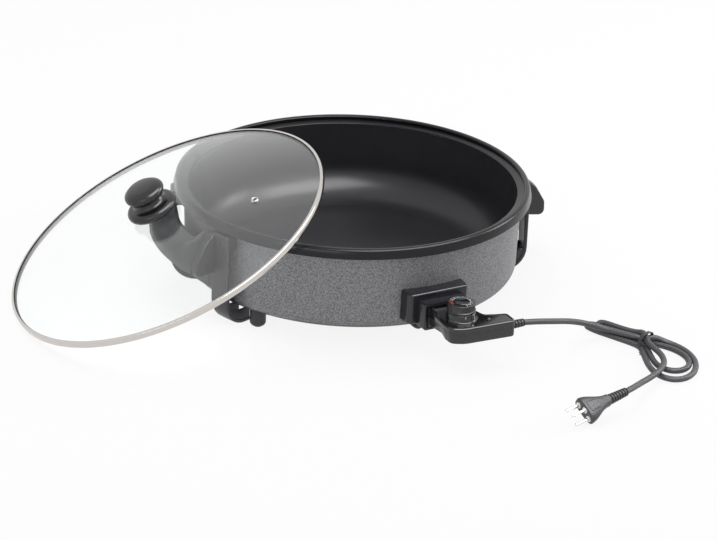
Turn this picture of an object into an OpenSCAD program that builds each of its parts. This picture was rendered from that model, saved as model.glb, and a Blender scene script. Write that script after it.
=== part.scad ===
// Round electric skillet: a pan on two handle stands, a loose glass lid that
// leans on the rim, and a plug-in heat control with its cord and mains plug.
// Units are millimetres. The origin is the centre of the pad under the pan,
// +Z is up, the handles lie along X and the heat control points along -Y.

/* [Pan] */
// Radius of the rim at its top
rim_r = 210; // [195:1:225]
// Height of the pan from its underside to the top of the rim
pan_h = 107; // [95:1:120]
// How far the rim's skirt flares out below its top
rim_flare = 2.5; // [2:0.5:4]
// Height of the rim's skirt
skirt_h = 11.5; // [10:0.5:13]
// How far the rim overhangs the wall
rim_overhang = 9.5; // [9:0.5:12]
// Width of the rim's top, out to in
lip_w = 7; // [6:0.5:8]
// Width of the ledge that the closed lid rests on
seat_w = 8; // [7:0.5:9]
// Thickness of the wall
wall_t = 5; // [4:0.5:6]
// Thickness of the floor
floor_t = 4.5; // [3.5:0.5:6]
// How much wider the wall is at the top than at the foot
wall_draft = 2; // [1:0.5:3]
// Outer radius between wall and underside
foot_fillet = 14; // [12:1:16]
// Inner radius between wall and floor
floor_fillet = 18; // [14:1:20]
// Radius of the raised pad in the middle of the underside
pad_r = 85; // [70:1:95]
// Height of the raised pad
pad_proud = 0.8; // [0.6:0.1:1.2]

/* [Feet] */
// Height of the feet, from the table to the underside
foot_h = 20; // [18:1:24]
// Radius of a foot post
post_r = 9.5; // [8:0.5:11]
// How far the middles of the posts stand in from the rim
post_in = 28; // [26:1:32]
// Angle of the posts from the middle of a handle
post_angle = 29.2; // [28.6:0.1:31]
// Radius of the rubber pad in a post
foot_pad_r = 5.5; // [5:0.5:6.5]

/* [Handles] */
// Gap for the fingers between the pan and a handle
finger_gap = 11; // [10:0.5:14]
// Thickness of a handle's upright wall
handle_t = 4.5; // [4:0.5:6]
// Angle by which the handles stand behind the X axis
handle_back = 3.5; // [0:0.5:4]
// Half the angle that a handle spans
handle_half = 24; // [22:0.5:25]
// Angle that a leg spans
leg_span = 7.2; // [6:0.2:8]
// Height of the lower edge of the wall between the legs
web_low = 23; // [20:1:30]
// Height of the upper edge of the wall between the legs
web_top = 73; // [70:1:78]
// How far the grip reaches out beyond the upright wall
grip_reach = 26.5; // [24:0.5:30]
// Height of the middle of the grip's nose
grip_z = 53.5; // [52:0.5:57]
// Radius of the grip's nose
grip_r = 11; // [9:0.5:12]
// Bend radius at the lower end of a leg
leg_bend = 31; // [26:1:36]
// Length of a leg's flat toe
toe_l = 10; // [6:1:14]

/* [Lid] */
// Clearance between the closed lid and the lip of the pan
lid_clear = 5; // [4:0.5:7]
// Height of the steel band round the lid
band_h = 7; // [6:0.5:9]
// Thickness of the steel band
band_t = 0.9; // [0.7:0.1:1.4]
// Thickness of the glass
glass_t = 4; // [3:0.5:5]
// Height of the dome over the middle of the band
dome_h = 34; // [28:1:40]
// Direction in which the lid leans away from the pan
lean_dir = 170.55; // [168:0.5:173]
// Distance of the steam vent from the lid's axis
vent_at_r = 125; // [110:1:140]
// Direction of the steam vent round the lid's axis
vent_dir = 145.4; // [140:0.5:150]
// Outer radius of the steam vent's flange
vent_flange_r = 4.5; // [4:0.25:6]

/* [Knob] */
// Radius of the knob's flange
knob_flange_r = 30; // [26:1:34]
// Height of the knob's flange
knob_flange_h = 12; // [10:1:14]
// Radius of the knob's cap
knob_cap_r = 24; // [20:1:28]
// Height of the knob's cap
knob_cap_h = 16; // [14:1:18]
// Radius of the knob's neck
knob_neck_r = 13; // [11:1:15]
// Height of the knob's neck
knob_neck_h = 9; // [7:1:11]
// Radius of the knob's screw
knob_screw_r = 2.4; // [2:0.1:3]

/* [Socket] */
// Place of the guard and its terminals along X
socket_x = -2; // [-3:0.5:0]
// Half the width of the guard round the terminals
guard_half_w = 38.5; // [36:0.5:40]
// Height of the guard's lower edge
guard_low = 14; // [12:0.5:16]
// Height of the guard's upper edge
guard_top = 51.5; // [49:0.5:54]
// How far the guard's front stands out past the rim
guard_reach = 5; // [4:0.5:7]
// Wall thickness of the guard and its sleeve
guard_t = 3; // [2.5:0.25:3.5]
// Height of the sleeve's upper edge
sleeve_top = 45; // [43:0.5:47]
// Half the width of the sleeve in front of the guard
sleeve_half_w = 29; // [28:0.5:32]
// Length of the sleeve
sleeve_l = 17; // [15:0.5:20]
// Distance of each terminal pin from the middle
pin_x = 13; // [12:0.5:14]
// Height of the terminal pins and the probe
pin_z = 26; // [25:0.5:27]
// Radius of a terminal pin
pin_r = 2.4; // [2:0.1:2.8]
// Radius of the heating tube
tube_r = 3.2; // [3:0.1:3.5]
// Radius of the heating ring
ring_r = 118; // [105:1:130]

/* [Heat control] */
// Radius of the temperature probe
probe_r = 3; // [2.5:0.1:3.2]
// Wall thickness of the housing
shell_t = 2; // [1.6:0.1:2.4]
// Height of the housing's lower face
case_low = 16; // [15.6:0.2:17]
// Height of the joint between the two shells
case_split = 30; // [29.5:0.5:31]
// Height of the housing's upper face
case_top = 36; // [35:0.5:38]
// Half the width of the housing at the sleeve
case_half_w = 22; // [21:0.5:23]
// Distance from the pan's axis to the housing's front
case_front = 290; // [287:1:294]
// How far the arm that holds the cord reaches along X
arm_reach = 55; // [52:0.5:60]
// Place of the dial along X
dial_x = 1; // [0:0.5:3]
// Distance of the dial from the pan's axis
dial_y = 258; // [256:0.5:260]
// Radius of the dial
dial_r = 15.5; // [14:0.5:16.5]
// Height of the dial's top
dial_top = 55; // [53:0.5:58]
// Height of the round turret under the dial
turret_h = 8; // [7:0.5:9]
// Radius of the dial's shaft
shaft_r = 3; // [2.5:0.1:3.5]
// Distance of the cord's outlet from the pan's axis
outlet_y = 280; // [278.5:0.5:280.5]
// Length of the strain relief outside the housing
relief_l = 16; // [14:0.5:18]

/* [Cord and plug] */
// Diameter of the cord
cord_d = 7; // [6:0.5:7.5]
// Width of the plug's face
plug_w = 32; // [30:0.5:34]
// Thickness of the plug
plug_t = 16; // [15:0.5:18]
// Length of the plug's body
plug_l = 35; // [32:1:38]
// Length of the plug's pins
plug_pin_l = 19; // [17:0.5:20]
// Radius of the plug's pins
plug_pin_r = 2; // [1.8:0.1:2.2]
// Distance between the plug's outer pins
plug_pitch = 19; // [18:0.5:20]

/* [Hidden] */
$fn = 96;

// Fits between pieces
touch = 0.15;      // between a piece and the curved wall that it lies on
slide_gap = 0.4;   // between the heat control and the sleeve
run_gap = 0.08;    // round a shaft or pin that moves in its hole
seat_gap = 0.02;   // round a pin or screw that stays in its hole

// Directions of the right and the left handle
handle_dirs = [handle_back, 180 - handle_back];

// Levels and distances from the pan's axis
table_z = -foot_h;
post_at_r = rim_r - post_in;
guard_front = rim_r + guard_reach;
skirt_z = pan_h - skirt_h;
floor_z = pad_proud + floor_t;

// Pan
skirt_r = rim_r + rim_flare;
wall_top_r = rim_r - rim_overhang;
wall_foot_r = wall_top_r - wall_draft;
lip_r = rim_r - lip_w;
seat_r = lip_r - seat_w;
under_fillet = foot_fillet - pad_proud;
under_r = wall_foot_r - under_fillet;
flange_t = 5;
skirt_t = 2.7;
seat_drop = 3;
seat_slope = 4.5;

// Radius of the outside of the wall at height z
function wall_r(z) =
    wall_foot_r + wall_draft * (z - foot_fillet) / (skirt_z - foot_fillet);

// Points along an arc
function arc(c, r, from, to, n = 8) =
    [for (i = [0:n]) let (a = from + (to - from) * i / n)
        c + r * [cos(a), sin(a)]];
function unit(v) = v / norm(v);
function inward(p, q) = let (e = unit(q - p)) [-e.y, e.x];
// Outline moved inwards by d; its points run counter-clockwise
function inset(pts, d) =
    let (n = len(pts))
    [for (i = [0:n - 1])
        let (a = inward(pts[(i + n - 1) % n], pts[i]),
             b = inward(pts[i], pts[(i + 1) % n]))
        pts[i] + d * (a + b) / (1 + a * b)];
// Arc that rounds the corner q between p and s
function corner(p, q, s, r, n) =
    let (a = unit(p - q), b = unit(s - q), h = acos(a * b) / 2,
         c = q + unit(a + b) * r / sin(h),
         t = q + a * r / tan(h) - c, u = q + b * r / tan(h) - c,
         from = atan2(t.y, t.x),
         turn = (atan2(u.y, u.x) - from + 540) % 360 - 180)
    arc(c, r, from, from + turn, n);
function rounded(pts, r, n = 5) =
    let (m = len(pts))
    [for (i = [0:m - 1])
        each corner(pts[(i + m - 1) % m], pts[i], pts[(i + 1) % m], r, n)];
function box_outline(w, h) =
    [[-w, -h], [w, -h], [w, h], [-w, h]] / 2;

// A profile spun part of a turn, centred on the X axis
module sweep(half, pts) {
    rotate([0, 0, -half])
        rotate_extrude(angle = 2 * half, $fn = 180)
            polygon(pts);
}
module tube_y(r, from, to, x = 0, z = pin_z) {
    translate([socket_x + x, -from, z])
        rotate([90, 0, 0])
            cylinder(r = r, h = to - from);
}
module at_posts() {
    for (side = handle_dirs, a = [-1, 1])
        rotate([0, 0, side + a * post_angle])
            translate([post_at_r, 0, 0])
                children();
}

// --- Pan -------------------------------------------------------------------
outer_profile = concat(
    [[0, 0], [pad_r, 0], [pad_r, pad_proud]],
    arc([under_r, foot_fillet], under_fillet, -90, 0, 10),
    [[wall_top_r, skirt_z]]);
rim_profile = concat(
    [[wall_top_r, pan_h - flange_t], [skirt_r - skirt_t - 2, pan_h - flange_t],
     [skirt_r - skirt_t, skirt_z], [skirt_r, skirt_z]],
    arc([rim_r - 3, pan_h - 4], 4, 10, 80, 6),
    [[lip_r + 2.5, pan_h]],
    arc([lip_r + 2.5, pan_h - 2.5], 2.5, 110, 170, 3),
    [[lip_r, pan_h - seat_drop],
     [seat_r + 0.8, pan_h - seat_drop - seat_slope + 0.5],
     [seat_r, pan_h - seat_drop - seat_slope - 0.6]]);
inner_foot_r = wall_r(floor_z + floor_fillet) - wall_t;
inner_profile = concat(
    [[wall_r(skirt_z) - wall_t, skirt_z]],
    arc([inner_foot_r - floor_fillet, floor_z + floor_fillet],
        floor_fillet, 0, -90, 10),
    [[0, floor_z]]);

module pan_body()
    color("dimgray")
        rotate_extrude($fn = 180)
            polygon(concat(outer_profile, rim_profile, inner_profile));

// The outside of the pan, grown by gap, to cut pieces that lie on it
module pan_cutter(gap) {
    rotate_extrude($fn = 180)
        polygon(concat(
            [[0, -gap]],
            arc([under_r, foot_fillet], under_fillet + gap, -90, 0, 10),
            [[wall_top_r + gap, skirt_z], [0, skirt_z]]));
}

// --- Heater and terminals --------------------------------------------------
tube_z = pad_proud - tube_r - 0.2;
riser_y = under_r + foot_fillet - tube_z;
turn_r = 7;
sheath_end = riser_y + turn_r + 2;
bead_end = guard_front + 1.4;
case_back = guard_front + 2;
pin_end = guard_front + sleeve_l - 3;

module heating_element() {
    ring_half = asin((pin_x - 1) / ring_r);
    d_centre = pad_proud - tube_r;
    color("silver") {
        rotate([0, 0, ring_half - 90 + asin(socket_x / ring_r)])
            rotate_extrude(angle = 360 - 2 * ring_half, $fn = 180)
                intersection() {
                    translate([ring_r, d_centre])
                        circle(r = tube_r + 0.8, $fn = 48);
                    translate([ring_r - 10, d_centre - 10])
                        square([20, pad_proud - d_centre + 10]);
                }
        for (x = [-pin_x, pin_x]) {
            tube_y(tube_r, ring_r - 1, under_r, x, tube_z);
            translate([socket_x + x, -under_r, foot_fillet])
                rotate([0, 90, 0])
                    rotate([0, 0, -90])
                        rotate_extrude(angle = 90)
                            translate([foot_fillet - tube_z, 0])
                                circle(r = tube_r, $fn = 48);
            translate([socket_x + x, -riser_y, foot_fillet])
                cylinder(r = tube_r, h = pin_z - turn_r - foot_fillet);
            translate([socket_x + x, -riser_y - turn_r, pin_z - turn_r])
                rotate([0, 90, 0])
                    rotate([0, 0, 90])
                        rotate_extrude(angle = 90)
                            translate([turn_r, 0])
                                circle(r = tube_r, $fn = 48);
            tube_y(tube_r, riser_y + turn_r, sheath_end, x);
        }
    }
}
module terminal_pins()
    color("gainsboro")
        for (x = [-pin_x, pin_x]) {
            tube_y(pin_r, sheath_end, pin_end - 1, x);
            translate([socket_x + x, -pin_end + 1, pin_z])
                rotate([90, 0, 0])
                    cylinder(r1 = pin_r, r2 = pin_r - 1, h = 1, $fn = 48);
        }
bead_r = 4.2;
module pin_insulators()
    color("ivory")
        for (x = [-pin_x, pin_x])
            difference() {
                tube_y(bead_r, sheath_end, bead_end, x);
                tube_y(pin_r + seat_gap, sheath_end - 1, bead_end + 1, x);
            }
well_r = 6;
well_end = guard_front - guard_t - 4;
probe_tip = wall_r(pin_z) + 2.4;
module probe_well()
    color("silver")
        difference() {
            tube_y(well_r, wall_r(pin_z) - 4, well_end);
            pan_cutter(touch);
            tube_y(probe_r + run_gap, probe_tip - 0.3, well_end + 1);
        }

// --- Guard round the terminals ---------------------------------------------
guard_mid = (guard_low + guard_top) / 2;
guard_h = guard_top - guard_low;
guard_outline = [[-guard_half_w, -wall_foot_r + 20],
                 [-guard_half_w, 9 - guard_front],
                 [5 - guard_half_w, -guard_front],
                 [guard_half_w - 5, -guard_front],
                 [guard_half_w, 9 - guard_front],
                 [guard_half_w, -wall_foot_r + 20]];
guard_screw_x = 13;
guard_screw_z = guard_top - 9.5;
guard_screw_r = 1.6;
module guard_form(shrink, low, high) {
    intersection() {
        translate([socket_x, 0, low])
            linear_extrude(high - low)
                polygon(rounded(inset(guard_outline, shrink), 4, 4));
        translate([socket_x, -guard_front + shrink, guard_mid])
            rotate([-90, 0, 0])
                linear_extrude(60)
                    polygon(rounded(inset(box_outline(2 * guard_half_w,
                                                      guard_h), shrink), 3));
    }
}
module terminal_guard()
    color([0.13, 0.13, 0.14])
        difference() {
            guard_form(0, guard_low, guard_top);
            difference() {
                guard_form(guard_t, guard_low, guard_top);
                pan_cutter(touch);
            }
            pan_cutter(touch);
            for (x = [-pin_x, pin_x]) {
                translate([socket_x + x, -riser_y, 0])
                    cylinder(r = tube_r + 0.5, h = guard_low + 8);
                tube_y(bead_r + seat_gap, guard_front - guard_t - 1,
                       guard_front + 1, x);
            }
            tube_y(probe_r + slide_gap, guard_front - 6, guard_front + 1);
            for (x = [-guard_screw_x, guard_screw_x]) {
                tube_y(guard_screw_r + seat_gap, guard_front - 6,
                       guard_front + 1, x, guard_screw_z);
                tube_y(3.2, guard_front - 1.4, guard_front + 1, x,
                       guard_screw_z);
            }
        }
sleeve_low = guard_low - 1;
mouth_half_w = sleeve_half_w - guard_t - 0.6;
mouth_corner_r = 0.8;   // under the clearance round the nose's square edges
module guard_sleeve()
    color([0.11, 0.11, 0.12])
        translate([socket_x, -guard_front, (sleeve_low + sleeve_top) / 2])
            rotate([90, 0, 0])
                linear_extrude(sleeve_l)
                    difference() {
                        polygon(rounded(box_outline(2 * sleeve_half_w,
                            sleeve_top - sleeve_low), 3));
                        polygon(rounded(box_outline(2 * mouth_half_w,
                            sleeve_top - sleeve_low - 2 * guard_t),
                                        mouth_corner_r));
                    }
module guard_bracket()
    color("silver") {
        strip_half = 6.5;
        rotate([0, 0, -90])
            sweep(strip_half,
                [[wall_r(guard_screw_z - 4) + touch, guard_screw_z - 4],
                 [wall_r(guard_screw_z - 4) + 1.8, guard_screw_z - 4],
                 [wall_r(guard_screw_z + 4) + 1.8, guard_screw_z + 4],
                 [wall_r(guard_screw_z + 4) + touch, guard_screw_z + 4]]);
        for (x = [-guard_screw_x, guard_screw_x])
            difference() {
                tube_y(3.4, wall_r(guard_screw_z) + 0.6,
                       guard_front - guard_t, x, guard_screw_z);
                tube_y(guard_screw_r + seat_gap, guard_front - guard_t - 8,
                       guard_front, x, guard_screw_z);
            }
    }
module guard_screws()
    color("gainsboro")
        for (x = [-guard_screw_x, guard_screw_x]) {
            tube_y(guard_screw_r, guard_front - guard_t - 7,
                   guard_front - 1.4, x, guard_screw_z);
            difference() {
                tube_y(3, guard_front - 1.4, guard_front - 0.1, x,
                       guard_screw_z);
                translate([socket_x + x - 0.4, -guard_front, guard_screw_z - 2])
                    cube([0.8, 0.8, 4]);
            }
        }
module earth_contact()
    color("goldenrod")
        translate([socket_x - 4, -guard_front - sleeve_l + 4,
                   sleeve_top - guard_t - 1.2])
            cube([8, sleeve_l - 4, 1.2]);

// --- Handles, which are the legs as well -----------------------------------
grip_in_r = wall_top_r + finger_gap;
grip_out_r = grip_in_r + handle_t;
leg_top = skirt_z - 2;
leg_angle = handle_half - leg_span / 2;
bend_c = [grip_out_r - leg_bend, table_z + leg_bend];
toe_r = bend_c.x - toe_l;
nose_c = [grip_out_r + grip_reach - grip_r, grip_z];
boss_low = leg_top - 18;
stud_r = 3.2;
stud_z = leg_top - 9;
end_wall = 1.2;      // angle that the wall at each end of the grip spans
join = 0.1;          // angle by which the middle reaches into the legs
grip_half = leg_angle - leg_span / 2;
web_in_r = grip_in_r + 0.3;
web_out_r = grip_out_r - 0.3;
leg_outline = concat(
    [[toe_r, table_z]],
    arc(bend_c, leg_bend, -90, 0),
    [[grip_out_r, leg_top], [wall_r(leg_top) + touch, leg_top],
     [wall_r(boss_low) + touch, boss_low], [grip_in_r, boss_low]],
    arc(bend_c, leg_bend - handle_t, 0, -90),
    [[toe_r, table_z + handle_t]]);
grip_outline = concat(
    [[web_out_r, web_top], [web_in_r, web_top], [web_in_r, web_low],
     [web_out_r, web_low], [web_out_r, grip_z - grip_r + 1.5]],
    arc(nose_c, grip_r, -60, 80, 10));
grip_hollow = concat(
    [[web_out_r + 0.5, web_top - 5.5], [web_out_r + 0.5, grip_z - grip_r - 5],
     [nose_c.x + (grip_r - handle_t) / 2, grip_z - grip_r - 5]],
    arc(nose_c, grip_r - handle_t, -60, 80));
module handle()
    color([0.14, 0.14, 0.15])
        difference() {
            union() {
                difference() {
                    sweep(grip_half + join, grip_outline);
                    sweep(grip_half - end_wall, grip_hollow);
                }
                for (s = [-1, 1])
                    rotate([0, 0, s * leg_angle])
                        sweep(leg_span / 2, leg_outline);
            }
            for (s = [-1, 1])
                rotate([0, 0, s * leg_angle])
                    translate([0, 0, stud_z])
                        rotate([0, 90, 0]) {
                            cylinder(r = stud_r + seat_gap, h = grip_in_r);
                            cylinder(r = 2.2 + seat_gap, h = grip_out_r + 1);
                            translate([0, 0, grip_out_r - 2.2])
                                cylinder(r = 4.8, h = 5);
                        }
        }
module right_handle() rotate([0, 0, handle_dirs[0]]) handle();
module left_handle() rotate([0, 0, handle_dirs[1]]) handle();
module at_studs()
    for (side = handle_dirs, s = [-1, 1])
        rotate([0, 0, side + s * leg_angle])
            translate([0, 0, stud_z])
                rotate([0, 90, 0])
                    children();
module handle_studs()
    color("silver")
        at_studs()
            difference() {
                translate([0, 0, wall_r(stud_z) + 0.3])
                    cylinder(r = stud_r, h = grip_in_r - wall_r(stud_z) - 0.3);
                translate([0, 0, grip_in_r - 9])
                    cylinder(r = 2.2 + seat_gap, h = 10);
            }
module handle_screws()
    color("gainsboro")
        at_studs()
            difference() {
                union() {
                    translate([0, 0, grip_in_r - 8])
                        cylinder(r = 2.2, h = handle_t + 8 - 2.2);
                    translate([0, 0, grip_out_r - 2.2])
                        cylinder(r = 4.5, h = 2);
                }
                translate([-0.5, -5, grip_out_r - 1.1])
                    cube([1, 10, 3]);
            }

// --- Foot posts -------------------------------------------------------------
foot_stud_r = 2;
nut_r = 3.6;
pad_h = 4;
module foot_posts()
    color([0.12, 0.12, 0.13])
        difference() {
            at_posts()
                rotate_extrude()
                    polygon(concat(
                        [[0, foot_fillet], [0, table_z + 1]],
                        arc([post_r - 6, table_z + 7], 6, -80, 0, 6),
                        [[post_r, foot_fillet]]));
            pan_cutter(0);
            at_posts() {
                translate([0, 0, table_z - 1])
                    cylinder(r = foot_pad_r + seat_gap, h = pad_h + 1);
                translate([0, 0, table_z + pad_h - 1])
                    cylinder(r = nut_r + 0.2, h = 6);
                translate([0, 0, table_z])
                    cylinder(r = foot_stud_r + 0.1, h = foot_h + 5);
            }
        }
module foot_studs()
    color("silver")
        at_posts() {
            translate([0, 0, table_z + pad_h + 1])
                cylinder(r = foot_stud_r, h = foot_h - pad_h - 1 + pad_proud);
            translate([0, 0, table_z + pad_h + 1])
                cylinder(r = nut_r, h = 4, $fn = 6);
        }
module foot_pads()
    color([0.2, 0.2, 0.2])
        at_posts()
            translate([0, 0, table_z])
                cylinder(r = foot_pad_r, h = pad_h);

// --- Lid ---------------------------------------------------------------------
// The lid leans: its lower edge is on the table and its band rests on the rim.
lid_r = lip_r - lid_clear;
level_psi = 63.2;   // from the lid's highest point to where it is level with the rim
level_r = rim_r + 6.7;
level_dir = 126.3;
lid_tilt = asin((pan_h + foot_h) / (lid_r * (1 + cos(level_psi))));
lean = [cos(lean_dir), sin(lean_dir)];
lean_side = [-sin(lean_dir), cos(lean_dir)];
lid_xy = level_r * [cos(level_dir), sin(level_dir)]
       + lean * (lid_r * cos(level_psi) * cos(lid_tilt)
                 + band_h / 2 * sin(lid_tilt))
       + lean_side * lid_r * sin(level_psi);
lid_z = table_z + lid_r * sin(lid_tilt) + band_h / 2 * cos(lid_tilt) + 0.02;
dome_mid_h = dome_h - glass_t / 2;
glass_edge_r = lid_r - band_t - 0.1;
dome_r = (glass_edge_r * glass_edge_r + dome_mid_h * dome_mid_h)
       / (2 * dome_mid_h);
dome_c = dome_mid_h - dome_r;
vent_tilt = asin(vent_at_r / dome_r);
// Height of the glass at distance s from the lid's axis; side is 1 or -1
function glass_z(s, side) =
    let (r = dome_r + side * glass_t / 2) sqrt(r * r - s * s) + dome_c;

module lid_pose() {
    translate([lid_xy.x, lid_xy.y, lid_z])
        rotate([0, lid_tilt, lean_dir])
            children();
}
module at_vent() {
    rotate([0, 0, vent_dir])
        translate([0, 0, dome_c])
            rotate([0, vent_tilt, 0])
                translate([0, 0, dome_r])
                    children();
}
glass_steps = 16;
vent_hole_r = vent_flange_r - 1.5;
module lid_glass()
    color([0.8, 0.85, 0.86, 0.4])
        lid_pose()
            difference() {
                rotate_extrude($fn = 180)
                    polygon(concat(
                        [for (i = [0:glass_steps])
                            let (s = glass_edge_r * i / glass_steps)
                            [s, glass_z(s, 1)]],
                        [for (i = [glass_steps:-1:0])
                            let (s = glass_edge_r * i / glass_steps)
                            [s, glass_z(s, -1)]]));
                cylinder(r = knob_screw_r + 1.2, h = dome_h + 5);
                at_vent()
                    cylinder(r = vent_hole_r + 0.05, h = glass_t + 4,
                             center = true);
            }
channel_r = glass_edge_r - 2.4;
lip_l = 1.65;       // depth of the lip that drops inside the pan's ledge
lid_lip_t = 2;
module lid_rim()
    color("gainsboro")
        lid_pose()
            rotate_extrude($fn = 180)
                polygon([
                    [lid_r, -band_h / 2], [lid_r, band_h / 2],
                    [channel_r, glass_z(channel_r, 1) + 0.9],
                    [channel_r, glass_z(channel_r, 1) + 0.1],
                    [glass_edge_r + 0.1, glass_z(glass_edge_r, 1) + 0.1],
                    [glass_edge_r + 0.1, glass_z(glass_edge_r, -1) - 0.1],
                    [channel_r - lid_lip_t,
                     glass_z(channel_r - lid_lip_t, -1) - 0.1],
                    [channel_r - lid_lip_t, -band_h / 2 - lip_l],
                    [channel_r, -band_h / 2 - lip_l],
                    [channel_r, -band_h / 2]]);
module vent_eyelet()
    color("gainsboro")
        lid_pose()
            at_vent()
                rotate_extrude($fn = 48)
                    polygon([[vent_hole_r - 1.4, -glass_t / 2 - 1],
                             [vent_flange_r, -glass_t / 2 - 0.7],
                             [vent_flange_r, -glass_t / 2 - 0.06],
                             [vent_hole_r, -glass_t / 2 - 0.06],
                             [vent_hole_r, glass_t / 2 + 0.06],
                             [vent_flange_r, glass_t / 2 + 0.06],
                             [vent_flange_r, glass_t / 2 + 0.7],
                             [vent_hole_r - 1.4, glass_t / 2 + 1]]);

// --- Knob --------------------------------------------------------------------
washer_h = 1.2;
washer_r = 12;
flange_z = dome_h + washer_h;
neck_z = flange_z + knob_flange_h;
cap_z = neck_z + knob_neck_h;
knob_top = cap_z + knob_cap_h;
module knob_washer()
    color("dimgray")
        lid_pose()
            translate([0, 0, dome_h])
                difference() {
                    cylinder(r = washer_r, h = washer_h);
                    cylinder(r = knob_screw_r + seat_gap, h = 9, center = true);
                }
module knob_base()
    color([0.12, 0.12, 0.13])
        lid_pose()
            rotate_extrude()
                polygon(concat(
                    [[knob_screw_r + seat_gap, flange_z],
                     [knob_flange_r - 5, flange_z]],
                    arc([knob_flange_r - 5, flange_z + 5], 5, -75, 0, 5),
                    arc([knob_flange_r - 5, neck_z - 5], 5, 0, 75, 5),
                    [[knob_neck_r + 2, neck_z + 1], [knob_neck_r, neck_z + 3],
                     [knob_neck_r, cap_z], [knob_screw_r + seat_gap, cap_z]]));
module knob_cap()
    color([0.16, 0.16, 0.17])
        lid_pose()
            difference() {
                rotate_extrude()
                    polygon(concat(
                        [[0, cap_z], [knob_neck_r + 1, cap_z],
                         [knob_cap_r - 3, cap_z + 4.5]],
                        arc([knob_cap_r - 5, knob_top - 6.5], 5, -30, 75, 7),
                        [[knob_cap_r - 12, knob_top - 0.5], [0, knob_top]]));
                translate([0, 0, cap_z - 1])
                    cylinder(r = knob_screw_r + seat_gap, h = 8);
            }
module knob_screw()
    color("gainsboro")
        lid_pose()
            difference() {
                union() {
                    translate([0, 0, dome_h - glass_t - 2.6])
                        cylinder(r = 5.5, h = 2.5);
                    translate([0, 0, dome_h - glass_t - 0.5])
                        cylinder(r = knob_screw_r,
                                 h = cap_z + 6.5 - dome_h + glass_t + 0.5);
                }
                translate([-0.6, -6, dome_h - glass_t - 3])
                    cube([1.2, 12, 1.4]);
            }

// --- Heat control: housing ---------------------------------------------------
arm_back = 266;
case_outline = [[-case_half_w, -case_back - 13], [-case_half_w + 1, -dial_y],
                [-case_half_w - 3, -dial_y - 10],
                [-case_half_w - 2.5, -case_front + 11],
                [-case_half_w + 12, -case_front + 2],
                [arm_reach - 3, -case_front - 2], [arm_reach, -case_front + 4],
                [arm_reach, -arm_back - 4], [arm_reach - 14, -arm_back],
                [30, -arm_back + 4], [case_half_w, -dial_y + 6],
                [case_half_w, -case_back - 13]];
nose_half_w = mouth_half_w - slide_gap;
nose_low = sleeve_low + guard_t + slide_gap;
nose_end = guard_front + sleeve_l - 1;
screw_spots = [[-19.5, -272], [18, -240], [28, -286.5]];
outlet_z = 25;
case_screw_r = 1.4;
boss_r = 3.4;
sleeve_out_r = pin_r + run_gap + 1.1;
lamp_at = [27, -276];
lamp_r = 2.5;

// The main block of the housing between two heights
module case_block(shrink, low, high)
    translate([0, 0, low])
        linear_extrude(high - low)
            polygon(rounded(inset(case_outline, shrink), 3 - shrink * 0.6, 4));
// The nose that goes into the sleeve
module nose_block(shrink, low, high)
    translate([socket_x - nose_half_w + shrink, -nose_end, low])
        cube([2 * (nose_half_w - shrink), nose_end - case_back - shrink,
              high - low]);
module socket_holes() {
    for (x = [-pin_x, pin_x])
        tube_y(sleeve_out_r + 0.15, case_back - 1, case_back + 4, x);
    tube_y(probe_r + 0.05, case_back - 1, case_back + 4);
    translate([arm_reach - 4, -outlet_y, outlet_z])
        rotate([0, 90, 0])
            cylinder(r = cord_d / 2 + 1.7, h = 6);
}
module controller_lower()
    color([0.1, 0.1, 0.11])
        difference() {
            union() {
                difference() {
                    union() {
                        case_block(1.2, case_low, case_low + 1.2);
                        case_block(0, case_low + 1.2, case_split);
                        nose_block(0, nose_low, case_split);
                    }
                    case_block(shell_t, case_low + shell_t, case_split + 1);
                    nose_block(shell_t, case_low + shell_t, case_split + 1);
                    translate([socket_x - pin_x - 6, -nose_end - 4,
                               case_low + shell_t])
                        cube([2 * pin_x + 12, 8, 20]);
                }
                for (p = screw_spots)
                    translate([p.x, p.y, case_low + 1])
                        cylinder(r = boss_r, h = case_split - case_low - 1);
            }
            socket_holes();
            for (p = screw_spots)
                translate([p.x, p.y, case_low - 1]) {
                    cylinder(r = case_screw_r + 0.1, h = 30);
                    cylinder(r = 2.7, h = 3.4);
                }
        }
module controller_upper() {
    wedge = [[-dial_y - 12, case_top + turret_h - 1],
             [-case_front + 3.5, case_top - 0.5], [-dial_y - 12, case_top - 0.5]];
    color([0.08, 0.08, 0.09])
        difference() {
            union() {
                difference() {
                    union() {
                        case_block(0, case_split, case_top - 1.6);
                        case_block(1.6, case_top - 1.6, case_top);
                        nose_block(0, case_split, case_top);
                        translate([dial_x, -dial_y, case_top - 2])
                            cylinder(r = dial_r + 2, h = turret_h + 2);
                        translate([dial_x - 8, 0, 0])
                            rotate([90, 0, 90])
                                linear_extrude(16)
                                    polygon(wedge);
                    }
                    case_block(shell_t, case_split - 1, case_top - shell_t);
                    nose_block(shell_t, case_split - 1, case_top - shell_t);
                    translate([socket_x - pin_x - 6, -nose_end - 4, case_split - 1])
                        cube([2 * pin_x + 12, 8,
                              case_top - shell_t - case_split + 1]);
                }
                for (p = screw_spots)
                    translate([p.x, p.y, case_split])
                        cylinder(r = boss_r,
                                 h = case_top - shell_t - case_split + 0.5);
            }
            socket_holes();
            for (p = screw_spots)
                translate([p.x, p.y, case_split - 1])
                    cylinder(r = case_screw_r + seat_gap,
                             h = case_top - case_split - shell_t);
            translate([dial_x, -dial_y, 0])
                cylinder(r = shaft_r + run_gap, h = 90);
            translate([lamp_at.x, lamp_at.y, 0])
                cylinder(r = lamp_r + seat_gap, h = 90);
        }
}
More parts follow.
